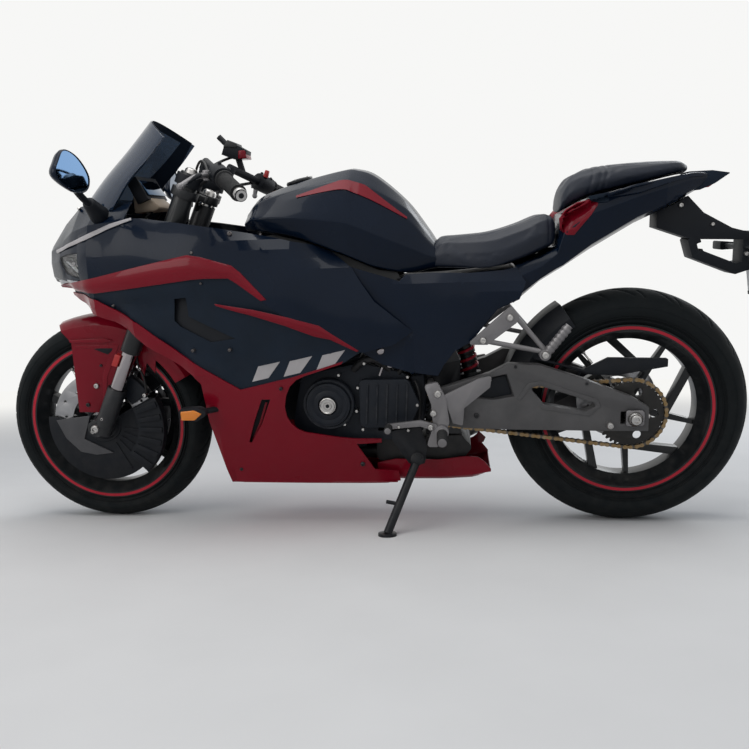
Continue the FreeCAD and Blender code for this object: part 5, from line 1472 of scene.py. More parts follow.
def tyre_profile(radius, crown_r, half, rim_half):
    """Points (y, r) from the left bead over the crown to the right one."""
    bead_y, bead_r = rim_half - 8, 219.4
    shoulder_y = 0.82 * half
    shoulder_r = radius - crown_r + math.sqrt(crown_r ** 2 - shoulder_y ** 2)
    wall_r = 219 + 0.46 * (radius - 219)
    side = [(-bead_y, bead_r), (-bead_y - 1, 229), (-bead_y - 3, 233.5),
            (-0.93 * half, 0.5 * (233 + wall_r)), (-half, wall_r),
            (-0.965 * half, 0.5 * (shoulder_r + wall_r))]
    crown = []
    for i in range(CROWN_POINTS + 1):
        y = -shoulder_y + 2 * shoulder_y * i / CROWN_POINTS
        crown.append((y, radius - crown_r + math.sqrt(crown_r ** 2 - y * y)))
    return side + crown + [(-y, r) for y, r in reversed(side)]


TREAD_DEPTH = 3.2


def groove_depth(turn, y, half, pitch):
    """How deep the tread is sunk: slanted cuts that start near the middle, and shorter ones between."""
    across = abs(y) / (0.8 * half)
    side = 0 if y < 0 else 0.5
    long_phase = (turn / pitch + side + 0.75 * across) % 1.0
    short_phase = (turn / pitch + side + 0.5 + 0.45 * across) % 1.0
    deep = 0.0
    if 0.10 < across < 0.86:
        deep = max(deep, 1 - abs(long_phase - 0.5) / 0.055)
    if 0.48 < across < 0.93:
        deep = max(deep, 1 - abs(short_phase - 0.5) / 0.045)
    return max(0.0, min(1.0, deep * 1.8))


def make_tyre(name, axle, radius, crown_r, half, rim_half, pitches, steps):
    """A tyre's sheet round an axle, with so many grooves and so many steps to a turn."""
    profile = tyre_profile(radius, crown_r, half, rim_half)
    last = len(profile) - 1

    def place(u, v):
        y, r = profile[round(v * last)]
        turn = u % 1.0
        if SIDE_POINTS <= round(v * last) <= last - SIDE_POINTS:
            r -= TREAD_DEPTH * groove_depth(turn, y, half, 1.0 / pitches)
        angle = 2 * math.pi * turn
        return (axle.x / MM + r * math.cos(angle), y, axle.z / MM + r * math.sin(angle))

    return sheet_of(name, last, steps, place)

# %% Front and rear tyres
front_tyre = make_tyre("front_tyre_tread", FRONT_AXLE, 293, 61, 55, 46, 22, 660)
finish_piece(front_tyre, rubber, stands_for=("front_tyre",), body="front_wheel", angle=50)
rear_tyre = make_tyre("rear_tyre_tread", REAR_AXLE, 320, 88, 75, 60, 20, 640)
finish_piece(rear_tyre, rubber, stands_for=("rear_tyre",), body="rear_wheel", angle=50)

# %% [markdown]
# The side of a tyre carries fine raised rings. Three thin lips are spun on each side, low enough to
# stay inside the solid tyre's width.

# %% Sidewall rings
for body, axle, half, rings in (("front_wheel", FRONT_AXLE, 55, (238, 246, 262)),
                                ("rear_wheel", REAR_AXLE, 75, (240, 250, 276))):
    lips = []
    for r in rings:
        wall = 0.975 * half if r < 255 else 0.992 * half
        for side in (-1, 1):
            foot, face = side * (wall - 4), side * (wall - 0.6)
            ring = [(foot, r - 1.2), (face, r - 0.6), (face, r + 0.6), (foot, r + 1.2)]
            lips.append(spun(f"lip_{r}", ring, 120, axle))
    lip = join(lips, f"sidewall_rings_{body}")
    finish_piece(lip, rubber, body=body, angle=50)

# %% [markdown]
# The rims are castings, so their solids only need rounded edges. The red tape on each flange, a
# valve and a row of balance weights are new pieces.

# %% Rims, tape, valves and weights
for node, body, axle, rim_half in (("front_rim", "front_wheel", FRONT_AXLE, 46),
                                   ("rear_rim", "rear_wheel", REAR_AXLE, 60)):
    recast(node, wheel_black, 2.2, 40, 3)
    tapes = []
    for side in (-1, 1):
        face = side * (rim_half + 0.15)
        crown = face + side * 0.5
        tapes.append(spun("tape", [(face, 217.0), (crown, 217.3), (crown, 224.6), (face, 225)], 128, axle))
    tape = join(tapes, f"{node}_tape")
    finish_piece(tape, tape_red, body=body, angle=40)
    root = axle / MM + Vector((math.cos(2.2) * 186, -6, math.sin(2.2) * 186))
    inward = Vector((-math.cos(2.2), -0.35, -math.sin(2.2)))
    rods = (("stem", 0, 30, 3.2, 2.8, 14), ("cap", 24, 38, 4.4, 4.0, 10), ("seat", -2, 5, 6.5, 5.0, 16))
    valve = join([rod(part, root + inward * low, root + inward * high, r0, r1, sides)
                  for part, low, high, r0, r1, sides in rods], f"{node}_valve")
    finish_piece(bevelled(valve, 0.5, 2), bolt_steel, body=body)
    weights = []
    for k in range(4):
        turn = 4.0 + 0.07 * k
        at = axle / MM + Vector((math.cos(turn) * 190, 8, math.sin(turn) * 190))
        out = Vector((math.cos(turn), 0, math.sin(turn)))
        weights.append(rod(f"weight_{k}", at, at - out * 4.5, 7, 6, 6))
    weight = join(weights, f"{node}_weights")
    finish_piece(bevelled(weight, 0.8, 2), silver_paint, body=body)
print("wheels done")

# %% [markdown]
# The front end's solids get their small parts here: the fender's ledge, dark opening and bolts, the
# grey facet on the brake cover, a red reflector, the brake pipes and the amber lamp lenses.

# %% Fender details
FENDER_FACE = -70.7
block("fender_ledges", [(-1523, 538), (-1420, 541), (-1396, 534), (-1418, 528), (-1521, 530)],
      FENDER_FACE - 5, FENDER_FACE + 1, 1.2, crimson, both=True, body="steering")
block("fender_openings", [(-1456, 511), (-1396, 516), (-1402, 506), (-1416, 495), (-1430, 500)],
      FENDER_FACE - 0.7, FENDER_FACE + 1, 0.3, trim_black, both=True, body="steering")
block("fender_ribs", [(-1506, 522), (-1380, 522), (-1424, 430), (-1438, 330), (-1446, 330), (-1436, 440),
                      (-1400, 512), (-1506, 514)], FENDER_FACE - 1.2, FENDER_FACE + 1, 0.8, crimson,
      both=True, body="steering")
bolt_row("fender_bolts", [(-1458, FENDER_FACE - 1, 406, 8)], body="steering")
bolt_row("fender_screws", [(-1489, FENDER_FACE - 1, 351, 6), (-1439, FENDER_FACE - 1, 464, 4),
                           (-1310, FENDER_FACE - 1, 436, 4)], material=frame_black,
         body="steering")

# %% Reflectors, pipes and foot bolts
block("fork_reflectors", [(-1373, 503), (-1357, 499), (-1372, 468), (-1387, 472)], -119, -96, 1.0,
      switch_red, both=True, body="steering")
pipe("brake_pipes", [(-1316, -74, 372), (-1308, -80, 420), (-1330, -86, 470), (-1328, -72, 540),
                     (-1306, -66, 590), (-1272, -50, 640)], 3.4, both=True, body="steering")
bolt_row("pipe_unions", [(-1316, -82, 380, 6), (-1322, -84, 455, 4.5)], body="steering")
bolt_row("fork_foot_bolts", [(-1460, -118.3, 285, 6), (-1450, -121.5, 293.8, 12), (-1428, -122, 322, 4.5)],
         body="steering")

# %% [markdown]
# The brake cover is moulded in dark plastic with one grey facet, a boomerang that follows its rim.
# Ribs stand on the housing behind it, and a raised ring and radial steps break up its flat face.

# %% Brake cover facets
COVER_FACE = -67.8
GREY_FACET = [(-1590, 306), (-1488, 319), (-1512, 250), (-1428, 209), (-1480, 203), (-1526, 212),
              (-1566, 252)]
block("brake_cover_facets", GREY_FACET, COVER_FACE - 3.2, COVER_FACE + 1, 1.4, cover_grey,
      both=True, body="steering")
steps = []
for k in range(5):
    turn = math.radians(-62 + 13 * k)
    half = math.radians(2.2)
    rim = ((62, -half), (150, -half * 0.6), (150, half * 0.6), (62, half))
    corners = [(FRONT_AXLE.x / MM + r * math.cos(turn + s),
                FRONT_AXLE.z / MM + r * math.sin(turn + s)) for r, s in rim]
    step = plate(f"step_{k}", corners, COVER_FACE - 2.0, COVER_FACE + 1)
    faces_out(step)
    steps.append(step)
cover_steps = join(steps, "brake_cover_steps")
both_sides(cover_steps)
finish_piece(bevelled(cover_steps, 0.8, 2), trim_black, body="steering")
COVER_RING = [(COVER_FACE - 2.5, 44), (COVER_FACE - 2.5, 50), (COVER_FACE + 1, 53), (COVER_FACE + 1, 41)]
cover_ring = spun("brake_cover_ring", COVER_RING, 64, FRONT_AXLE)
finish_piece(both_sides(cover_ring), trim_black, body="steering")

# %% Front indicator lenses
block("amber_lenses", [(-1160, 369), (-1124, 373), (-1104, 363), (-1124, 346), (-1159, 346)], -234.5, -230,
      2.2, amber_lens, both=True)

# %% [markdown]
# The bars carry ribbed rubber grips, cast levers with a ball at the end, and switch boxes. Each new
# piece follows the bar's own line, from its clamp on the fork leg out to the grip's end.

# %% The bar's line
STEER = Vector((math.sin(math.radians(24.5)), 0, math.cos(math.radians(24.5))))
LEG_BASE = FRONT_AXLE / MM + Vector((15, 0, 0))
leg_top = LEG_BASE + STEER * 724 + Vector((0, -98, 0))
bar_start = leg_top + Vector((55, -14, 42))
BAR_END = Vector((-936, -345, 905))
bar_run = (BAR_END - bar_start).normalized()
ahead = bar_run.cross(Vector((0, 0, 1))).normalized()
perch = BAR_END - bar_run * 165 + ahead * 36
print("the bar is", round((BAR_END - bar_start).length), "mm long from its riser")


def along_bar(piece):
    """Move a piece that was spun round the Y axis at the origin onto the left bar's end."""
    turn = bar_run.to_track_quat("Y", "Z").to_matrix().to_4x4()
    piece.data.transform(Matrix.Translation(BAR_END * MM) @ turn)
    return piece


def two_bars(piece, material, angle=35):
    """Both the left piece and its mirror image on the right bar."""
    return finish_piece(with_twin(piece), material, body="steering", angle=angle)

# %% Grips and end weights
GRIP_RIBS = 15
profile = [(-126, 10), (-126, 22), (-123, 23), (-120, 22)]
for k in range(GRIP_RIBS):
    at = -118 + 7.0 * k
    profile += [(at, 18.4), (at + 4.4, 18.4), (at + 4.8, 17.3), (at + 6.6, 17.3)]
profile += [(-10, 19.5), (-6.5, 19.5), (-6.5, 10)]
grip = along_bar(spun("grips", profile[::-1], 32))
two_bars(grip, soft_rubber)
WEIGHT = [(-6, 0.1), (-6, 14.4), (-2, 15.2), (9, 15.2), (13, 13.4), (16.2, 12.4), (16.4, 6.5), (13, 6.0),
          (13, 0.1)]
weight = along_bar(spun("bar_weights", WEIGHT[::-1], 32))
two_bars(weight, bolt_steel)

# %% Levers
lever = tube("lever", [perch + ahead * -6, perch + Vector((-2, -40, -3)), perch + Vector((-10, -62, -9)),
                       perch + Vector((-26, -108, -30))], 6.8, 16)
ball_at = perch + Vector((-26, -108, -30))
ball = spun("ball", [(-8.5, 0.05), (-7, 4.8), (-4, 7.5), (0, 8.5), (4, 7.5), (7, 4.8), (8.5, 0.05)][::-1],
            18, ball_at * MM)
hinge = rod("hinge", perch + Vector((2, 4, -12)), perch + Vector((2, 4, 12)), 9, 9, 18)
bevelled(hinge, 1.5, 2)
two_bars(join([lever, ball, hinge], "levers"), cast_alloy, 50)

# %% Switches, reservoir cap and the brown block
switch_at = BAR_END - bar_run * 159
keys = []
for k, (turn_to, length) in enumerate(((0.2, 12), (1.0, 9), (1.9, 10))):
    out = Vector((math.sin(turn_to), -0.2, math.cos(turn_to))).normalized()
    key = rod(f"key_{k}", switch_at + out * 20 + bar_run * (k * 13 - 13),
              switch_at + out * 31 + bar_run * (k * 13 - 13), 5.5, 4.2, 12)
    bevelled(key, 1.0, 2)
    keys.append(key)
two_bars(join(keys, "switch_keys"), trim_black)
stop_switch = rod("stop_switch", Vector((-1003, 196, 972)), Vector((-996, 198, 992)), 8, 6.5, 16)
finish_piece(bevelled(stop_switch, 1.2, 2), switch_red, body="steering")
block("reservoir_cap", [(-1104, 1056), (-1090, 1076), (-1062, 1064), (-1064, 1052)], 122, 178, 2.5,
      frame_black, body="steering")
block("fluid_window", [(-1062, 1022), (-1060, 1045), (-1040, 1045), (-1036, 1022)], 121, 179, 3.0, crimson,
      body="steering")
bolt_row("reservoir_screws", [((-1090, 138, 1071), (0.38, 0, 0.92), 3),
                              ((-1078, 162, 1067), (0.38, 0, 0.92), 3)], mirrored=False, body="steering")

# %% Cables and the yoke's caps
pipe("clutch_cable", [perch + Vector((4, 10, 0)), (-1062, -176, 990), (-1100, -110, 1004),
                      (-1140, -46, 960), (-1160, -20, 890)], 3.2, body="steering")
pipe("brake_hose", [(-1084, 150, 1030), (-1122, 128, 1018), (-1168, 70, 972), (-1180, 24, 900),
                    (-1190, 18, 850)], 4.0, body="steering")
pipe("switch_wires", [(-1040, -190, 958), (-1086, -130, 948), (-1128, -60, 930), (-1146, -24, 880)], 4.5,
     both=True, body="steering")
bolt_row("fork_caps", [(LEG_BASE + STEER * 744 + Vector((0, -98, 0)), STEER, 19),
                       (LEG_BASE + STEER * 750 + Vector((0, -98, 0)), STEER, 9)], body="steering")
bolt_row("stem_nut", [(LEG_BASE + STEER * 704 + Vector((29, 0, -13)), STEER, 18)], mirrored=False,
         body="steering")

# %% [markdown]
# The display is a dark glass in a frame that faces the rider. Its back is bare sand-coloured plastic,
# and it is what one sees from the side, between the screen and the bars.

# %% Display glass and its bare back
block("display_glass", [(-1291, 962), (-1262, 922), (-1258, 924), (-1287, 965)], -60, 60, 1.0, mirror_glass)
block("display_back", [(-1310, 930), (-1296, 938), (-1276, 928), (-1240, 896), (-1238, 886), (-1252, 880),
                       (-1310, 876)], -52, 52, 5.0, beige_plate)
pipe("display_wires", [(-1262, -34, 884), (-1284, -42, 866), (-1300, -46, 838), (-1312, -48, 806)], 4.0,
     both=True)

# %% [markdown]
# The engine shows between the red horn and the belly. Its block is a plain solid, so it gets what
# makes a casting look like one: stepped rings and a silver plug on the round cover, rows of bolts,
# ribs, cooling fins, hoses and a few bright fittings.

# %% The generator cover's rings and plug
COVER_AT = Vector((-786, 0, 366)) * MM
rings = spun("generator_rings", [(-150, 60), (-153, 61), (-153, 66), (-150, 67.5)], 64, COVER_AT)
inner_ring = spun("inner_ring", [(-162, 24), (-165.5, 26), (-165.5, 34), (-162, 40), (-163.5, 46),
                                 (-163.5, 50), (-162, 52), (-160, 52), (-160, 24)][::-1], 64, COVER_AT)
finish_piece(join([rings, inner_ring], "generator_rings"), engine_black)
plug = spun("generator_plug", [(-167.5, 0.05), (-172, 5), (-172.5, 9), (-170, 11), (-170, 17),
                               (-172.5, 19.5), (-171, 21.5), (-166, 22), (-166, 0.05)][::-1], 48, COVER_AT)
finish_piece(plug, bolt_steel, angle=30)
hex_dark = rod("plug_hex", (-786, -168, 366), (-786, -173.2, 366), 5.2, 5.2, 6)
finish_piece(hex_dark, trim_black)
around = [((-786 + 63 * math.cos(a), -150.5, 366 + 63 * math.sin(a)), (0, -1, 0),
           4.5) for a in (math.radians(36 * k + 10) for k in range(10))]
bolt_row("generator_bolts", around, material=engine_black, mirrored=False)
BRIGHT = [(-757, 443), (-708, 409), (-713, 346), (-746, 310), (-689, 473), (-577, 436), (-553, 361),
          (-578, 293), (-698, 296)]
bolt_row("crankcase_bolts", [(x, -147, z, 4.2) for x, z in BRIGHT], mirrored=False)

# %% Ribs, clutch cover and cooling fins
ribs = []
for k in range(5):
    x = -690 + 26 * k
    rib = plate(f"rib_{k}", [(x, 312), (x + 4, 312), (x + 10, 418), (x + 6, 418)], -149.5, -144)
    faces_out(rib)
    ribs.append(rib)
finish_piece(join(ribs, "sprocket_cover_ribs"), engine_black)
clutch = Vector((-770, 0, 374)) * MM
clutch_rings = spun("clutch_rings", [(163, 0.05), (163, 22), (167, 26), (167, 44), (163, 50), (151, 57),
                                     (151, 62), (155, 65), (155, 71), (151, 75), (148, 75), (148, 0.05)],
                    64, clutch)
finish_piece(clutch_rings, engine_black)
around = [((-770 + 68 * math.cos(a), 153, 374 + 68 * math.sin(a)), (0, 1, 0),
           4.5) for a in (math.radians(40 * k) for k in range(9))]
bolt_row("clutch_bolts", around, mirrored=False)
fins = []
for k in range(9):
    low, high = Vector((-872 + 11.5 * k, 0, 410 + 22 * k)), Vector((-706 + 11.5 * k * 0.2, 0, 480 + 17 * k))
    edge = [(low.x - 6, low.z), (high.x, high.z), (high.x, high.z + 4), (low.x - 6, low.z + 4)]
    fin_plate = plate(f"fin_{k}", edge, -79, 79)
    faces_out(fin_plate)
    fins.append(fin_plate)
finish_piece(join(fins, "cylinder_fins"), engine_black)

# %% [markdown]
# Hoses run from the cylinders to the frame, and a silver valve and its cap stand out among the dark
# pieces just above the crankcase. A dark plate closes the view between the crankcase and the pivot.

# %% Hoses, fittings and the rear plate
pipe("coolant_hose", [(-720, -118, 452), (-700, -132, 476), (-668, -134, 486), (-640, -122, 470),
                      (-620, -112, 440)], 10)
pipe("breather_hose", [(-600, -118, 440), (-588, -128, 470), (-566, -128, 480), (-552, -112, 470),
                       (-546, -100, 440)], 7)
pipe("starter_lead", [(-560, -120, 420), (-548, -130, 400), (-546, -128, 350), (-552, -124, 310),
                      (-566, -118, 290)], 4)
valve = spun("valve_cap", [(-2, 0.05), (-2, 9), (4, 10.5), (9, 10.5), (12, 8), (13, 4), (13, 0.05)], 28)
valve.data.transform(Matrix.Translation(Vector((-645, -140, 506)) * MM) @ Matrix.Rotation(math.pi, 4, "Z"))
body_cap = rod("cap_body", (-621, -132, 484), (-623, -134, 458), 10.5, 10.5, 24)
bevelled(body_cap, 5.0, 4)
pin = rod("cap_pin", (-642, -142, 462), (-650, -142, 440), 3.4, 3.4, 12)
stem = rod("cap_stem", (-645, -112, 506), (-645, -142, 506), 6, 6, 16)
foot = rod("cap_foot", (-622, -112, 470), (-622, -134, 470), 7, 7, 16)
finish_piece(join([valve, body_cap, pin, stem, foot], "bright_valves"), chrome, angle=40)
block("rear_engine_plate", [(-566, 300), (-574, 448), (-520, 462), (-508, 440), (-516, 300)], -58, 58, 3,
      frame_black)
block("gearbox_end", [(-596, 268), (-572, 430), (-536, 436), (-528, 380), (-540, 280)], -104, -62, 5,
      engine_black)

# %% [markdown]
# A drive chain is two kinds of link in turn, joined by rollers. One pair of links is modelled from
# flat plates with waists, and copies are laid along the loop: round the rear sprocket, along the
# lower run, round the small sprocket and back.

# %% The chain's path
CHAIN_Y, PITCH = -92.0, 15.0
BIG_R, SMALL_R = 90.0 + 1.0, 36.0 + 0.6
big = Vector((0, 0, 321.2))
chain_mesh = [UPRIGHT @ v.co for v in nodes["chain_loop"].data.vertices]
small_x = min(v.x for v in chain_mesh) / MM + SMALL_R + 8
small_z = sorted(v.z / MM for v in chain_mesh if v.x / MM < small_x - 20)
small = Vector((small_x, 0, 0.5 * (small_z[0] + small_z[-1])))
gap = small - big
base = math.atan2(gap.z, gap.x)
open_by = math.acos((BIG_R - SMALL_R) / gap.length)
run_length = math.sqrt(gap.length ** 2 - (BIG_R - SMALL_R) ** 2)
big_arc, small_arc = (2 * math.pi - 2 * open_by) * BIG_R, 2 * open_by * SMALL_R
loop_length = big_arc + small_arc + 2 * run_length
count = 2 * round(loop_length / PITCH / 2)
print("chain:", count, "pitches of", round(loop_length / count, 2), "mm, small sprocket at", round(small_x),
      round(small.z))


def at_chain(distance):
    """A place on the loop and the direction there, as the chain is followed."""
    if distance < big_arc:
        turn = base + open_by + distance / BIG_R
        return big + Vector((math.cos(turn), 0, math.sin(turn))) * BIG_R
    distance -= big_arc
    leave = base - open_by
    side = Vector((math.cos(leave), 0, math.sin(leave)))
    if distance < run_length:
        return (big + side * BIG_R).lerp(small + side * SMALL_R, distance / run_length)
    distance -= run_length
    if distance < small_arc:
        turn = leave + distance / SMALL_R
        return small + Vector((math.cos(turn), 0, math.sin(turn))) * SMALL_R
    distance -= small_arc
    side = Vector((math.cos(base + open_by), 0, math.sin(base + open_by)))
    return (small + side * SMALL_R).lerp(big + side * BIG_R, min(1.0, distance / run_length))

# %% One link of each kind
def link_pattern(name, half_width, wall, radius):
    """Two waisted side plates over one pitch, with a roller at the first pin."""
    outline = []
    for end, start_turn in ((0, 90), (PITCH, -90)):
        for k in range(5):
            turn = math.radians(start_turn + 45 * k)
            outline.append((end + radius * math.cos(turn), radius * math.sin(turn)))
        waist = radius * 0.62 * (-1 if end == 0 else 1)
        outline.append((PITCH / 2, waist))
    sides = [plate("side", outline, s * half_width, s * (half_width + wall)) for s in (-1, 1)]
    roller = rod("roller", (0, -half_width, 0), (0, half_width, 0), 4.6, 4.6, 8)
    rivet = rod("rivet", (0, -half_width - wall - 0.8, 0), (0, half_width + wall + 0.8, 0), 2.0, 2.0, 6)
    rivet_two = rod("rivet", (PITCH, -half_width - wall - 0.8, 0), (PITCH, half_width + wall + 0.8, 0), 2.0,
                    2.0, 6)
    piece = join(sides + [roller, rivet, rivet_two], name)
    faces_out(piece)
    return piece


inner_link, outer_link = link_pattern("inner_link", 3.2, 1.6, 5.6), link_pattern("outer_link", 5.0, 1.4, 5.2)
links = {"steel": [], "gold": []}
for k in range(count):
    here, there = at_chain(loop_length * k / count), at_chain(loop_length * ((k + 1) % count) / count)
    pattern, kind = ((inner_link, "steel") if k % 2 else (outer_link, "gold"))
    link = copy_of(f"link_{k}", pattern.data)
    tilt = math.atan2(there.z - here.z, there.x - here.x)
    at = Matrix.Translation((here + Vector((0, CHAIN_Y, 0))) * MM)
    link.data.transform(at @ Matrix.Rotation(-tilt, 4, "Y"))
    links[kind].append(link)
bpy.data.objects.remove(inner_link)
bpy.data.objects.remove(outer_link)
finish_piece(join(links["steel"], "chain_inner_links"), chain_steel,
             stands_for=("chain_loop",), tidy=False)
finish_piece(join(links["gold"], "chain_outer_links"), chain_gold, tidy=False)

# %% [markdown]
# The axle's nut, its washer and the adjusters sit in the arm's slots. The damper's spring is a true
# coil, drawn as a bar that follows a helix.

# %% Axle nuts and arm bolts
ARM_FACE = -138.0
block("axle_plates", [(-19, 301), (-22, 306), (-22, 337), (-19, 342), (19, 342), (24, 336), (24, 306),
                      (19, 301)], -147, -140, 2.0, cast_alloy, both=True)
bolt_row("axle_nuts", [(0, -157, 321.2, 15), (0, -148, 321.2, 19)])
bolt_row("adjuster_bolts", [((38, -121, 321.2), (1, 0, 0), 7), (-62, -151.5, 304, 9), (-366, -139, 424, 5)])
bolt_row("arm_screws", [(-400, -139, 330, 7), (-120, -139, 412, 4), (-300, -139, 458, 4)],
         material=frame_black)
block("arm_ribs", [(-296, 372), (-268, 414), (-236, 420), (-92, 370), (-84, 352), (-112, 326), (-232, 345),
                   (-238, 352), (-120, 336), (-94, 354), (-100, 362), (-238, 410), (-260, 405),
                   (-286, 370)], ARM_FACE - 1.6, ARM_FACE + 0.6, 0.6, arm_grey, both=True)
block("arm_pocket_steps", [(-436, 384), (-358, 374), (-308, 384), (-324, 434), (-364, 426), (-420, 400)],
      ARM_FACE + 10, ARM_FACE + 15.5, 2.0, trim_black, both=True)

# %% The damper's spring
low, high = Vector((-401, 0, 366)), Vector((-454, 0, 620))
axis = (high - low).normalized()
side_a = Vector((0, 1, 0))
side_b = axis.cross(side_a).normalized()
TURNS, STEPS = 6.5, 10
coil_points = []
for k in range(int(TURNS * STEPS) + 1):
    turn = 2 * math.pi * k / STEPS
    centre = low + axis * (56 + (k / (TURNS * STEPS)) * (high - low).length * 0.62)
    coil_points.append(centre + (side_a * math.cos(turn) + side_b * math.sin(turn)) * 25)
pipe("damper_spring", coil_points, 4.2, material=tape_red)

# %% [markdown]
# The pegs' plates are bolted on, and the folding pegs have ribbed rubbers. The gear lever has a
# round toe piece.

# %% Peg bolts and rubbers
bolt_row("pillion_bolts", [(-316, -164.5, 588, 9), (-383, -164.5, 531, 9), (-230, -178, 494, 10)])
bolt_row("peg_plate_bolts", [(-499, -176.5, 397, 10), (-511, -176.5, 346, 9), (-490, -197, 300, 11),
                             (-518, -187, 312, 8), (-600, -187, 313, 4)])


def ribbed(name, start, end, radius, ribs, both=True, material=soft_rubber):
    """A rubber sleeve with ribs, over a bar between two points on the left side."""
    start, end = Vector(start), Vector(end)
    length = (end - start).length
    rows = [(0, radius * 0.7), (0, radius)]
    for k in range(ribs):
        at = length * (k + 0.2) / ribs
        rows += [(at, radius), (at + length * 0.25 / ribs, radius * 1.14),
                 (at + length * 0.55 / ribs, radius * 1.14), (at + length * 0.8 / ribs, radius)]
    rows += [(length, radius), (length, radius * 0.7)]
    sleeve = spun(name, rows[::-1], 24)
    turn = (end - start).to_track_quat("Y", "Z").to_matrix().to_4x4()
    sleeve.data.transform(Matrix.Translation(start * MM) @ turn)
    if both:
        both_sides(sleeve)
    return finish_piece(sleeve, material)


ribbed("rider_peg_rubbers", (-489, -196, 298), (-488, -260, 292), 12.2, 6)
ribbed("pillion_peg_sleeves", (-222, -169, 502), (-176, -171, 560), 11.2, 6, material=cast_alloy)
ribbed("lever_toe_rubber", (-626, -190, 313), (-626, -225, 313), 9.2, 4, both=False)

# %% Rear lamp, plate and rear indicators
block("tail_lamp_lens", [(150, 888), (152, 902), (196, 905), (198, 900), (186, 892)], -36, 36, 2.0,
      red_lens, stands_for=("tail_lamp",))
block("tail_tip_sides", [(136, 930), (192, 931), (234, 924), (200, 901), (164, 886), (138, 884)], -39.5,
      -36.5, 1.0, charcoal, both=True)
block("tail_tip_roof", [(136, 932), (192, 933), (234, 926), (233, 922), (192, 928), (136, 927)], -39, 39,
      1.0, charcoal)
block("blank_plate", [(318, 776), (322, 776), (346, 610), (342, 610)], -85, 85, 1.2, blank_plate,
      stands_for=("number_plate",))
block("plate_rim_top", [(316.5, 779), (323.5, 779), (324.5, 770), (317.5, 770)], -87, 87, 1.0, trim_black)
block("plate_rim_foot", [(340.5, 618), (347.5, 618), (348.5, 608), (341.5, 608)], -87, 87, 1.0, trim_black)
bolt_row("plate_screws", [((323.5, 55, 762), (1, 0, 0.14), 5), ((323.5, -55, 762), (1, 0, 0.14), 5)],
         mirrored=False)
block("rear_amber_lenses", [(272, 731), (272, 749), (306, 746), (315, 739), (306, 733)], -172, -167, 1.6,
      amber_lens, both=True)
bolt_row("plate_arm_bolts", [(120, -37.5, 850, 6), (200, -37.5, 800, 5), (286, -37.5, 724, 6)])

# %% [markdown]
# Many solids already have the real piece's outline and only lack its rounded edges. Each gets a
# copy with its doubles merged and its sharp edges bevelled, in the finish that the piece has.

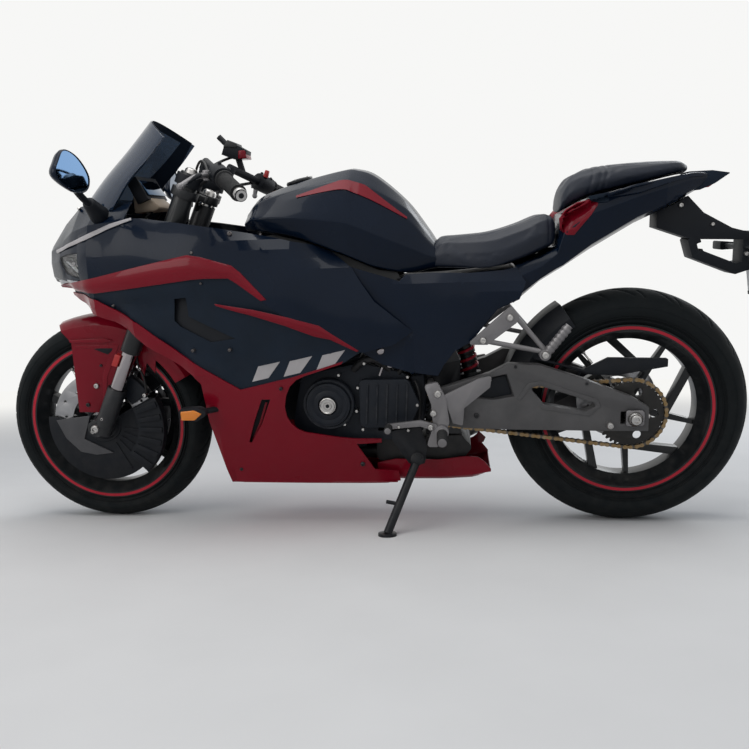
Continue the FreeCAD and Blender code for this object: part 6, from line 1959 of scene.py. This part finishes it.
# %% Rounded copies of the mechanical pieces
CAST = [
    ("fork_tubes", wheel_black, "fork_black", 1.5), ("fork_stanchions", chrome, "chrome_tube", 0.5),
    ("fork_feet", frame_black, "fork_black", 2.0), ("steering_yokes", frame_black, "fork_black", 2.0),
    ("front_calipers", engine_black, "dark_trim", 1.8), ("front_axle", bolt_steel, "disc_steel", 1.2),
    ("front_discs", disc_steel, "disc_steel", 0.4), ("rear_disc", disc_steel, "disc_steel", 0.4),
    ("rear_sprocket", dark_steel, "disc_steel", 0.5), ("rear_axle", bolt_steel, "disc_steel", 1.0),
    ("rear_caliper", engine_black, "dark_trim", 1.8), ("radiator", radiator_alloy, "engine_metal", 0.8),
    ("instrument_panel", trim_black, "dark_trim", 2.0), ("frame_spars", frame_black, "frame_paint", 2.0),
    ("seat_rails", frame_black, "frame_paint", 1.0), ("exhaust", pipe_black, "exhaust_metal", 1.5),
    ("engine_block", engine_black, "engine_metal", 2.5), ("swingarm", arm_grey, "arm_grey", 3.0),
    ("shock_absorber", frame_black, "dark_trim", 1.5), ("rear_hugger", trim_black, "dark_trim", 1.0),
    ("plate_bracket", trim_black, "dark_trim", 2.0),
    ("rider_footrests", cast_alloy, "cast_alloy", 1.6),
    ("pillion_footrests", cast_alloy, "cast_alloy", 1.6), ("stand_bracket", stand_steel, "frame_paint", 1.5),
    ("side_stand", stand_steel, "frame_paint", 1.5), ("handlebars", trim_black, "dark_trim", 1.5),
    ("front_indicators", trim_black, "dark_trim", 2.5), ("brake_covers", trim_black, "dark_trim", 1.2),
    ("front_fender", crimson, "red_panel", 2.0), ("engine_covers", engine_black, "engine_metal", 2.5),
]
for node, material, slot, width in CAST:
    piece = recast(node, material, width)
    print(piece.name, len(piece.data.polygons), "faces")

# %% [markdown]
# The floor is a large disc that fades into the surround. It is stage, so it isn't part of the bike.
# Near the bike it is plain paint that keeps the shadow. Further out its colour blends into the pale
# surround, which only the camera, gloss and glass see, so it adds no light.

# %% The floor
FADE_FROM, FADE_TO = 1.6, 6.5    # metres from the middle of the bike
fresh()
bpy.ops.mesh.primitive_circle_add(vertices=96, radius=9.0, fill_type="NGON")
floor = named("studio_floor")
floor_material = finish("floor_paint", (0.74, 0.73, 0.71), 0.85, grain_scale=300, bump=0.02, dusty=0.0,
                        vary=0.02, specular=0.0)
tree = floor_material.node_tree
shader = tree.nodes["Principled BSDF"]
far = node_of(tree, "VectorMath", {0: node_of(tree, "TexCoord").outputs["Object"]}, operation="LENGTH")
fade = node_of(tree, "MapRange", {"From Min": FADE_FROM, "From Max": FADE_TO,
                                  "Value": far.outputs["Value"]},
               interpolation_type="SMOOTHSTEP").outputs["Result"]
rays = node_of(tree, "LightPath").outputs
seen = maths(tree, "ADD", rays["Is Camera Ray"], rays["Is Glossy Ray"])
seen = maths(tree, "ADD", seen, rays["Is Transmission Ray"], True)
glow = node_of(tree, "Mix", {"A": (0, 0, 0, 1), "B": (0.93, 0.925, 0.90, 1),
                             "Factor": maths(tree, "MULTIPLY", fade, seen)}, data_type="RGBA")
tree.links.new(glow.outputs["Result"], shader.inputs["Emission Color"])
shader.inputs["Emission Strength"].default_value = 1.0
paint = shader.inputs["Base Color"].links[0].from_socket
dim = node_of(tree, "Mix", {"A": paint, "B": (0, 0, 0, 1), "Factor": fade}, data_type="RGBA")
tree.links.new(dim.outputs["Result"], shader.inputs["Base Color"])
floor.data.materials.append(floor_material)
print("floor added")
